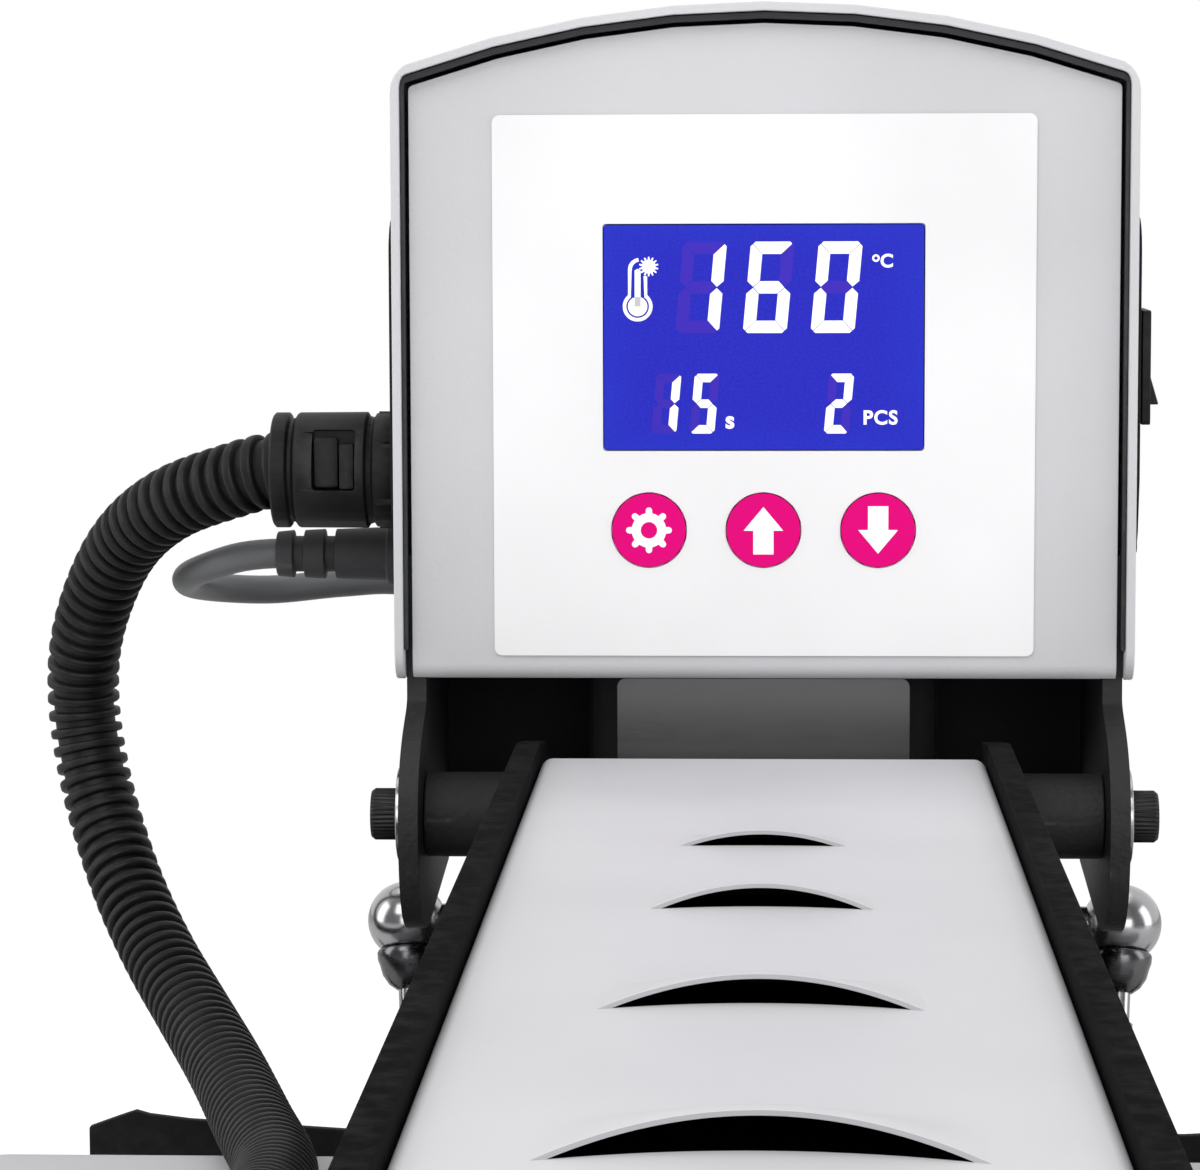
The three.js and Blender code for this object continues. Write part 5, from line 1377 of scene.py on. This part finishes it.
@dataclass
class Display(Part):
    """Lit display: its glass and what it shows.

    Args:
        front: place of the glass's front along Y.
        middle: height of its middle.
        size: its width and height.
    """

    # Digit, foot, and text and left side of each figure, from the upper left corner.
    ROWS = (
        (Digit(22.9, 11.0, 3.1), 27.1, (("1", 17.9), ("6", 34.9), ("0", 51.9))),
        (Digit(15.1, 6.25, 2.15, 0.08), 52.4, (("1", 11.9), ("5", 21.5), ("2", 55.3))),
    )
    # Text, left side, foot and height of each unit.
    UNITS = (("C", 69.4, 10.8, 3.5), ("s", 30.6, 51.2, 3.2), ("PCS", 65.3, 50.2, 3.7))

    front: float = -0.2
    middle: float = 379.9
    size: Pair = (80.3, 56.5)

    def plate(self, outline: Outline, depth: float = PRINT, holes: Sequence[Outline] = ()) -> Thing:
        """A thin plate on the glass."""
        return prism("lit", outline, Axis.Y, (self.front - depth, self.front), holes)

    def place(self, u: float, v: float) -> Pair:
        """X and Z of a point measured from the display's upper left corner."""
        return -self.size[0] / 2 + u, self.middle + self.size[1] / 2 - v

    def thermometer(self, x: float, z: float) -> list[Thing]:
        """A thermometer beside a small sun, with its bulb's middle at a point."""
        deg = math.radians
        ring = arc((x, z), (3.75, 3.75), deg(130), deg(280), 36)
        ring += [(x + 2.4, z + 7.6), (x + 1.5, z + 7.6)]
        ring += reversed(arc((x, z), (2.85, 2.85), deg(127), deg(286), 36))
        ring += [(x - 1.5, z + 8.9)]
        ring += arc((x + 0.7, z + 9.4), (2.1, 1.9), deg(180), -deg(80), 8)
        ring += arc((x + 0.7, z + 9.4), (3.1, 2.8), deg(100), deg(80), 8)
        stem = [(-0.75, 0), (0.75, 0), (0.75, 9.0), (0, 9.5), (-0.75, 9.0)]
        stem = [(x + u, z + v) for u, v in stem]
        sun: Outline = []
        teeth = 28
        for tooth in range(teeth):
            reach = 2.45 if tooth % 2 else 1.7
            for side in (-0.32, 0.32):
                angle = math.tau * (tooth + side) / teeth
                sun.append((x + 2.8 + reach * math.cos(angle), z + 10.0 + reach * math.sin(angle)))
        return [self.plate(o) for o in (ring, circle(2.45, (x, z), 40), stem, sun)]

    def build(self) -> None:
        """Makes the glass, the figures and the faint unlit segments."""
        shape = rounded(*self.size, 0.7, (0, self.middle))
        glass = prism("display_glass", shape, Axis.Y, (self.front, 10.0), bevel=0.15)
        self.dress(glass, "base", "lcd_blue", "display_module")
        lit: list[Thing] = []
        faint: list[Thing] = []
        for digit, foot, figures in self.ROWS:
            for text, left in figures:
                spot = self.place(left, foot)
                lit += [self.plate(o) for o in digit.shapes(text, *spot)]
                faint += [self.plate(o, PRINT / 4) for o in digit.shapes("8", *spot)]
        x, z = self.place(67.3, 8.4)
        degree = (x + 0.95, z)
        lit.append(self.plate(circle(0.95, degree, 28), holes=[circle(0.45, degree, 20)]))
        for text, left, foot, height in self.UNITS:
            lit.append(lettering(text, *self.place(left, foot), height, self.front - PRINT))
        lit += self.thermometer(*self.place(8.5, 20.4))
        self.dress(joined("display_figures", lit), "base", "label_white", finish=INK)
        self.dress(joined("display_unlit", faint), "base", "lcd_blue", finish=UNLIT)


@dataclass
class Keys(Part):
    """White membrane with its three round keys and their signs.

    Args:
        side: side of the membrane.
        middle: height of its middle.
        radius: radius of a key.
        pitch: distance between keys.
        height: height of the keys' middles.
        proud: how far a key stands out.
    """

    side: float = 136.4
    middle: float = 367.5
    radius: float = 9.3
    pitch: float = 28.9
    height: float = 331.3
    proud: float = 0.5

    def sign(self, outline: Outline, x: float, holes: Sequence[Outline] = ()) -> Thing:
        """A raised sign on the key at a place across."""
        placed = [(x + u, self.height + v) for u, v in outline]
        return prism("sign", placed, Axis.Y, (-self.proud - PRINT, -self.proud), holes)

    def gear(self, x: float) -> Thing:
        """A gear wheel with eight round-ended teeth."""
        outline: Outline = []
        teeth, reach = 8, 5.0
        for tooth in range(teeth):
            gap = math.tau * tooth / teeth + math.pi / teeth
            outline += arc((0, 0), (4.35, 4.35), gap - 0.2, 0.4, 4)
            angle = gap + math.pi / teeth
            tip = (reach * math.cos(angle), reach * math.sin(angle))
            outline += arc(tip, (0.8, 0.8), angle - QUARTER, math.pi, 6)
        return self.sign(outline, x, [circle(2.1, (x, self.height), 36)])

    def arrow(self, x: float, way: int) -> Thing:
        """An arrow that points up or down."""
        half = [(0, 5.9), (5.0, -0.1), (2.55, -0.1), (2.55, -6.1)]
        outline = [(u, way * v) for u, v in half + [(-u, v) for u, v in reversed(half[1:])]]
        return self.sign(outline[::way], x)

    def build(self) -> None:
        """Makes the membrane, the keys and the signs."""
        places = {"set": -self.pitch, "up": 0.0, "down": self.pitch}
        holes = [circle(self.radius + CLEAR, (x, self.height)) for x in places.values()]
        window = rounded(80.9, 57.1, 0.8, (0, Display.middle))
        shape = rounded(self.side, self.side, 2.0, (0, self.middle))
        sheet = prism("membrane", shape, Axis.Y, (0, 0.5), [window, *holes], 0.12)
        self.dress(sheet, "base", "label_white", "membrane_label")
        signs = [self.gear(-self.pitch), self.arrow(0.0, 1), self.arrow(self.pitch, -1)]
        profile = [(0, -self.proud), (self.radius, -self.proud), (self.radius, 2.0)]
        profile += [(3.2, 2.0), (3.2, 9.4), (0, 9.4)]
        for (name, x), sign in zip(places.items(), signs):
            face = turned(f"key_{name}_face", profile, Axis.Y, (x, self.height), 72, 0.15)
            self.dress(face, f"{name}_key", "key_magenta", f"key_{name}")
            sign.name = sign.data.name = f"key_{name}_sign"
            # The print's faint glow is painted light on these unlit signs.
            self.dress(sign, f"{name}_key", "label_white", finish=INK)


# ---- Arm cover ----


@dataclass
class Louvre:
    """One louvre of the cover: a slit with a domed lip behind it.

    Args:
        chord: how far in front of the pivot its tips are.
        half: half its width.
        rise: height of the top of its lip over the sheet.
        bow: how far the slit bows towards the pivot.
    """

    chord: float
    half: float
    rise: float
    bow: float

    def slit(self, share: float) -> float:
        """How far in front of the pivot the slit runs, at a share of its half width."""
        return self.chord - self.bow * max(0.0, 1 - share * share)

    def lip(self, share: float) -> float:
        """Height of the lip at a share of its half width."""
        return self.rise * max(0.0, 1 - share * share)

    @property
    def depth(self) -> float:
        """How far behind the slit the dome reaches."""
        return 0.84 * self.half


@dataclass
class ArmCover(Part):
    """Louvred pale cover between the lift arms.

    Args:
        half: half its width.
        span: how far in front of the pivot it starts and ends.
        top: height of its flat top.
        skirt: depth of its skirt.
        sheet: thickness of the sheet.
        corner: radius of its bends.
        columns: count of stretches across a louvre.
        beside: count of stretches beside it.
        rows: count of stretches along its dome.
    """

    LOUVRES = (
        Louvre(156, 18.0, 3.2, 1.0),
        Louvre(230, 22.05, 4.5, 3.5),
        Louvre(324, 28.35, 5.1, 5.8),
        Louvre(430, 33.75, 6.1, 7.0),
    )

    half: float = 54.9
    span: Pair = (25.3, 462.0)
    top: float = 277.1
    skirt: float = 13.0
    sheet: float = 0.8
    corner: float = 3.0
    columns: int = 56
    beside: int = 4
    rows: int = 16

    def across(self, half: float) -> list[float]:
        """Places of the columns, closer together near the tips of a louvre that is so wide."""
        count = self.columns
        shares = [math.sin(QUARTER * (2 * i / count - 1)) for i in range(count + 1)]
        step = (self.half - half) / self.beside
        left = [-self.half + step * i for i in range(self.beside)]
        return left + [half * s for s in shares] + [-x for x in reversed(left)]

    def dome(self, louvre: Louvre, share: float) -> list[Vector]:
        """One row of points of a louvre, at a share of its depth behind the slit."""
        line = []
        for x in self.across(louvre.half):
            s = x / louvre.half
            height = louvre.lip(s) * (1 - share * share) ** 2 if abs(s) < 1 else 0.0
            line.append(Vector((x, louvre.depth * share - louvre.slit(s), self.top + height)))
        return line

    def grid(self) -> list[list[Vector]]:
        """Rows of points from the pivot's end to the front; two rows meet at each slit."""
        first, last = self.LOUVRES[0], self.LOUVRES[-1]
        rows = [[Vector((x, -self.span[0], self.top)) for x in self.across(first.half)]]
        for louvre in self.LOUVRES:
            places = self.across(louvre.half)
            rows += [self.dome(louvre, 1 - row / self.rows) for row in range(self.rows + 1)]
            rows.append([Vector((x, -louvre.slit(x / louvre.half), self.top)) for x in places])
            rows.append([Vector((x, -(louvre.chord + 4), self.top)) for x in places])
        rows.append([Vector((x, -self.span[1], self.top)) for x in self.across(last.half)])
        return rows

    def cover(self) -> Thing:
        """The thin surface of the cover: its top, open at the slits, and its skirt."""
        rows = self.grid()
        width, count = len(rows[0]), len(rows)
        points = [p for row in rows for p in row]
        slits = {self.rows + 1 + i * (self.rows + 3) for i in range(len(self.LOUVRES))}
        closed = [r for r in range(count - 1) if r not in slits]
        corners = [r * width + i for r in closed for i in range(width - 1)]
        faces = [[a, a + 1, a + 1 + width, a + width] for a in corners]
        rim = [(0, i) for i in range(width)] + [(r, width - 1) for r in range(1, count)]
        rim += [(count - 1, i) for i in range(width - 2, -1, -1)]
        rim += [(r, 0) for r in range(count - 2, 0, -1)]
        ring = [r * width + i for r, i in rim]
        low = len(points)
        points += [points[i] - Vector((0, 0, self.skirt)) for i in ring]
        for i, spot in enumerate(ring):
            j = (i + 1) % len(ring)
            faces.append([spot, low + i, low + j, ring[j]])
        return mesh_object("louvred_cover", points, faces)

    def build(self) -> None:
        """Makes the sheet with its louvres, bends and skirt, and the black sheet of painted shade
        under it.
        """
        cover = self.cover()
        bend = {"limit_method": "ANGLE", "angle_limit": math.radians(70)}
        modify(cover, "BEVEL", width=self.corner * MM, segments=5, **bend)
        # The underside takes the near-black painted shade and the cut rim a grey of painted shade.
        sides = {"material_offset": 1, "material_offset_rim": 2}
        modify(cover, "SOLIDIFY", thickness=self.sheet * MM, offset=-1, **sides)
        inside = (SHADE_LINING.material(), SHADED_CUT_EDGE.material())
        for material in (SMOOTH_GREY.material(), *inside):
            cover.data.materials.append(material)
        baked(cover)
        looks = [p.material_index for p in cover.data.polygons]
        smoothed(cover, math.radians(40))
        self.dress(cover, "arm", "grey_paint", "arm_cover", finish=SMOOTH_GREY)
        for material in inside:
            cover.data.materials.append(material)
        for polygon, look in zip(cover.data.polygons, looks):
            polygon.material_index = look
        self.painted_shade_sheet()

    def painted_shade_sheet(self) -> None:
        """Makes the black sheet that closes the cover from below, painted shade that keeps the
        slits dark.
        """
        gap, thick = 0.4, 0.8
        depth = self.span[1] - self.span[0] - 2 * self.corner
        middle = (0, -(self.span[0] + self.span[1]) / 2)
        shape = rounded(2 * (self.half - self.sheet - gap), depth, self.corner, middle)
        low = self.top - self.skirt + gap
        sheet = prism("cover_tray", shape, Axis.Z, (low, low + thick))
        self.dress(sheet, "arm", "black_steel", finish=SHADE_LINING)


# ---- Round pieces ----


@dataclass
class Ears(Part):
    """The two plates that carry the head, with the pivot's bolts, washers and spacers.

    Args:
        inner: inner face of an ear.
        outer: outer face of an ear.
        bore: radius of the bolt's hole.
        washer: radius and thickness of a washer.
        head: length of a bolt's head.
    """

    inner: float = 86.0
    outer: float = 91.0
    bore: float = 4.3
    washer: Pair = (12.0, 1.6)
    head: float = 6.6

    def outline(self) -> Outline:
        """The ear's outline in Y and Z."""
        points: Outline = [(4, 66), (4, 30)]
        points += self.curve((4, 30), (4, 24), (-24, 24), (-24, 0))
        points += self.curve((-24, 0), (-24, -20), (-13.3, -30), (8, -30))
        points += [(68.4, -24)]
        points += self.curve((68.4, -24), (71.7, -24), (73.4, -22.3), (73.4, -19), 6)
        points += [(73.4, 35)]
        points += self.curve((73.4, 35), (73.4, 38.3), (71.7, 40), (68.4, 40), 6)
        points += [(49, 40)]
        points += self.curve((49, 40), (45.7, 40), (44, 41.7), (44, 45), 6)
        points += [(44, 66)]
        return [(y, PIVOT_UP + z) for y, z in points]

    @staticmethod
    def curve(a: Point, b: Point, c: Point, d: Point, steps: int = 20) -> Outline:
        """Points of a Bezier curve after its start."""
        points: Outline = []
        for step in range(1, steps + 1):
            t = step / steps
            shares = ((1 - t) ** 3, 3 * t * (1 - t) ** 2, 3 * t * t * (1 - t), t**3)
            held = list(zip(shares, (a, b, c, d)))
            points.append(tuple(sum(s * p[i] for s, p in held) for i in range(2)))
        return points

    def bolt(self, side: int, name: str) -> Thing:
        """A socket-head bolt with a knurled head."""
        start = self.outer + CLEAR + self.washer[1] + CLEAR
        end = start + self.head
        profile = [(0, start - 22), (4, start - 22), (4, start), (6.3, start)]
        profile += [(6.6, start + 0.4), (6.6, end - 0.9), (5.9, end), (0, end)]

        def knurl(angle: float, radius: float) -> float:
            return 0.14 * math.cos(36 * angle) - 0.14 if radius > 6.5 else 0.0

        body = turned(name, sided(side, profile), Axis.X, (0, PIVOT_UP), 288, 0.0, knurl)
        hexagon = circle(3.9, (0, PIVOT_UP), 6)
        return cut(body, prism("socket", hexagon, Axis.X, span_on(side, end - 4, end + 1)))

    def build(self) -> None:
        """Makes both ears with what the pivot shaft holds on them."""
        middle = (0, PIVOT_UP)
        hole = circle(self.bore, middle, ROUND)
        radius, near = self.washer[0], self.outer + CLEAR
        far = near + self.washer[1]
        washer = [(self.bore, near), (radius, near), (radius, far), (self.bore, far)]
        start, end = ARM_OUTER + CLEAR, self.inner - CLEAR
        tube = [(8.3, start), (10.8, start), (10.8, end), (8.3, end)]
        for name, side in SIDES:
            span = span_on(side, self.inner, self.outer)
            plate = prism(f"ear_plate_{name}", self.outline(), Axis.X, span, [hole], 0.7, 3)
            self.dress(plate, "base", "black_steel", f"ear_{name}", finish=ROUGH_BLACK_HIGHLIT)
            ring = turned(f"pivot_washer_{name}", sided(side, washer), Axis.X, middle, FINE, 0.25)
            self.dress(ring, "base", "chrome_steel", f"ear_washer_{name}")
            bolt = self.bolt(side, f"pivot_bolt_{name}")
            self.dress(bolt, "base", "black_oxide", f"ear_bolt_{name}")
            spacer = turned(f"spacer_{name}", sided(side, tube), Axis.X, middle, 96, 0.5)
            self.dress(spacer, "base", "black_steel", f"shaft_spacer_{name}", finish=ROUGH_BLACK_HIGHLIT)


@dataclass
class Struts(Part):
    """Ball studs on the arms' tails, and the gas struts' rods and cups.

    Args:
        ball: where the ball's middle is, on the right side.
        foot: where the strut's lower pin is, on the right side.
        radius: radius of the ball.
        shift: how far outside the joint the ball is shown.
    """

    ball: tuple[float, float, float] = (95.0, 55.0, 220.5)
    foot: tuple[float, float, float] = (87.0, 0.0, 75.0)
    radius: float = 10.5
    shift: float = 1.2

    def stud(self) -> list[Pair]:
        """Profile of the stud along X."""
        neck, middle = 4.6, self.ball[0] + self.shift
        start, collar = ARM_OUTER + CLEAR, middle - self.radius - 9
        profile = [(0, start), (9.2, start), (9.2, collar), (8.6, collar + 0.6)]
        profile += [(5.2, collar + 0.8), (neck, collar + neck)]
        angle = math.asin(neck / self.radius)
        radii = (self.radius, self.radius)
        profile += arc((0, middle), radii, angle - QUARTER, math.pi - angle, 32)
        profile[-1] = (0, profile[-1][1])
        return profile

    def rod(self) -> list[Pair]:
        """Profile of the rod, with the ball's middle at 0."""
        foot = [(0, -100), (3.4, -100), (3.8, -99.4), (3.8, -27)]
        return [*foot, (2.9, -26.4), (2.9, -18.9), (0, -18.9)]

    def cup(self) -> list[Pair]:
        """Profile of the cup under the ball, with the ball's middle at 0."""
        hollow, lip = 10.8, 7.9
        profile = [(0, -18.8), (3.4, -18.8), (5.4, -17.3), (7.0, -14.8), (7.7, -12)]
        profile += [(8.2, -10.6), (8.3, -8.7), (7.9, -lip)]
        start = math.acos(lip / hollow)
        profile += arc((0, 0), (hollow, hollow), start - QUARTER, -start, 12)
        profile[-1] = (0, profile[-1][1])
        return profile

    def build(self) -> None:
        """Makes both studs, rods and cups."""
        for name, side in SIDES:
            stud = turned(f"ball_{name}", sided(side, self.stud()), Axis.X, self.ball[1:])
            self.dress(stud, "arm", "chrome_steel", f"ball_stud_{name}")
            rod = turned(f"rod_{name}", self.rod(), Axis.Z, (0, -PIVOT_BACK))
            cup = turned(f"cup_{name}", self.cup(), Axis.Z, (0, -PIVOT_BACK), bevel=0.3)
            low = to_row((side * self.foot[0], *self.foot[1:]))
            high = to_row((side * (self.ball[0] + self.shift), *self.ball[1:]))
            turn = Vector((0, 0, 1)).rotation_difference(high - low).to_matrix().to_4x4()
            for piece in (rod, cup):
                piece.data.transform(Matrix.Translation(high) @ turn)
            self.dress(rod, f"{name}_rod", "chrome_steel", f"strut_rod_{name}")
            # The cup's chrome is darkened as painted shade under the ball.
            self.dress(cup, f"{name}_rod", "chrome_steel", finish=SHADED_CHROME)


@dataclass
class Fittings(Part):
    """Conduit gland and strain relief on the head's left side.

    Args:
        gland: where the gland's middle is, in Y and Z.
        relief: where the strain relief's middle is, in Y and Z.
        start: where both start along X, from the head outwards.
    """

    gland: Pair = (35.0, 344.0)
    relief: Pair = (55.0, 320.0)
    start: float = 97.1

    def build_gland(self) -> None:
        """Makes the snap-in gland with its flared mouth, ribs and latch window."""
        s = self.start
        y, z = self.gland
        profile = [(10.3, 31), (14.4, 31), (15.1, 30.4), (15.1, 27.0), (14.6, 26.6)]
        profile += [(13.6, 26.4), (13.6, 25.4), (14.8, 24.6), (15.1, 24.0), (15.2, 6.4)]
        profile += [(14.2, 5.8), (13.8, 4.6), (14.9, 3.9), (14.9, -1), (10.3, -1)]
        placed = [(r, -(s + x)) for r, x in profile]
        body = turned("gland_body", placed, Axis.X, self.gland, 96, 0.12)
        window = rounded(11.2, 15.6, 1.0, (-s - 14.2, z + 3.4))
        body = cut(body, prism("window", window, Axis.Y, (y - 20, y - 9.0)))
        latch = rounded(6.0, 12.8, 0.8, (-s - 16.2, z + 2.8))
        hook = rounded(3.6, 11.6, 0.6, (-s - 10.8, z + 1.8))
        nut, hole = circle(15.4, self.gland, 6, math.pi / 6), circle(14.2, self.gland, ROUND)
        parts = [
            body,
            prism("latch", latch, Axis.Y, (y - 12.6, y - 8.6), bevel=0.5),
            prism("hook", hook, Axis.Y, (y - 13.8, y - 8.6), bevel=0.3),
            prism("nut", nut, Axis.X, (-s - 3.4, -s + 1.0), [hole], 0.5),
        ]
        whole = joined("conduit_gland_body", parts)
        self.dress(whole, "base", "black_plastic", "conduit_gland")

    def build_relief(self) -> None:
        """Makes the tapered strain relief with its two grooves."""
        profile = [(4.7, 33), (5.7, 33), (6.0, 32.6)]
        for place in (27.0, 18.6):
            radius = 6.2 + (33 - place) / 30
            profile += [(radius, place + 1.5), (4.8, place + 1.2)]
            profile += [(4.8, place - 1.2), (radius, place - 1.5)]
        profile += [(7.2, 3.4), (8.4, 3.0), (8.6, -1), (4.7, -1)]
        placed = [(r, -(self.start + x)) for r, x in profile]
        made = turned("relief", placed, Axis.X, self.relief, 56, 0.2)
        self.dress(made, "base", "black_plastic", "strain_relief", finish=RELIEF)

    def build(self) -> None:
        """Makes both fittings."""
        self.build_gland()
        self.build_relief()


@dataclass
class Controls(Part):
    """The grip on the arms' nose and the pressure knob.

    Args:
        nose: place of the grip bar along Y.
        latch: place of the knob along Y.
        grip_end: half the grip's length.
    """

    nose: float = -545.0
    latch: float = -512.0
    grip_end: float = 54.9

    def swell(self, x: float) -> float:
        """Share of the grip's bulge at a place across."""
        share = abs(x) / self.grip_end
        if share < 0.86:
            return 0.5 - 0.5 * math.cos(math.tau * (share * 1.15 + 0.5))
        return max(0.0, (1 - share) / 0.14)

    def build(self) -> None:
        """Makes the padded grip and the fluted knob."""
        end = self.grip_end
        places = [-end + 2 * end * step / 64 for step in range(65)]
        profile = [(7.3, -end), *[(13.2 + 1.7 * self.swell(x), x) for x in places], (7.3, end)]
        grip = turned("foam_grip", profile, Axis.X, (self.nose, PIVOT_UP))
        self.dress(grip, "arm", "rubber_black", "handle_grip")

        def flute(angle: float, radius: float) -> float:
            return -1.6 * max(0.0, math.cos(12 * angle)) ** 2 if radius > 20 else 0.0

        top = [(6.3, 277.1), (21, 277.1), (24, 278.6), (24, 286.4), (22.4, 288.4)]
        top += [(20, 289.1), (6.6, 289.1), (6.3, 288.8)]
        knob = turned("pressure_knob_cap", top, Axis.Z, (0, self.latch), 192, 0.0, flute)
        self.dress(knob, "knob", "black_plastic", "pressure_knob")


@dataclass
class RecessPanel(Part):
    """Satin face over the column's shallow recess.

    Args:
        half: half its width.
        span: heights that it starts and ends at.
        front: place of its front along Y.
    """

    half: float = 38.0
    span: Pair = (108.0, 290.2)
    front: float = 25.75

    def build(self) -> None:
        """Makes the thin face."""
        height, middle = self.span[1] - self.span[0], sum(self.span) / 2
        shape = rounded(2 * self.half, height, 2.2, (0, middle))
        face = prism("recess_face", shape, Axis.Y, (self.front, self.front + 0.2))
        self.dress(face, "base", "black_steel", finish=BURNISHED)


# ---- The whole press ----

PARTS = (
    PlainPieces,
    ConduitHose,
    MainsLead,
    Display,
    Keys,
    ArmCover,
    Ears,
    Struts,
    Fittings,
    Controls,
    Column,
    RecessPanel,
)


def main() -> None:
    """Loads the frame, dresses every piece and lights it."""
    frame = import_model()
    for part in PARTS:
        part(frame).build()
    Studio().build()


if __name__ == "__main__":
    main()
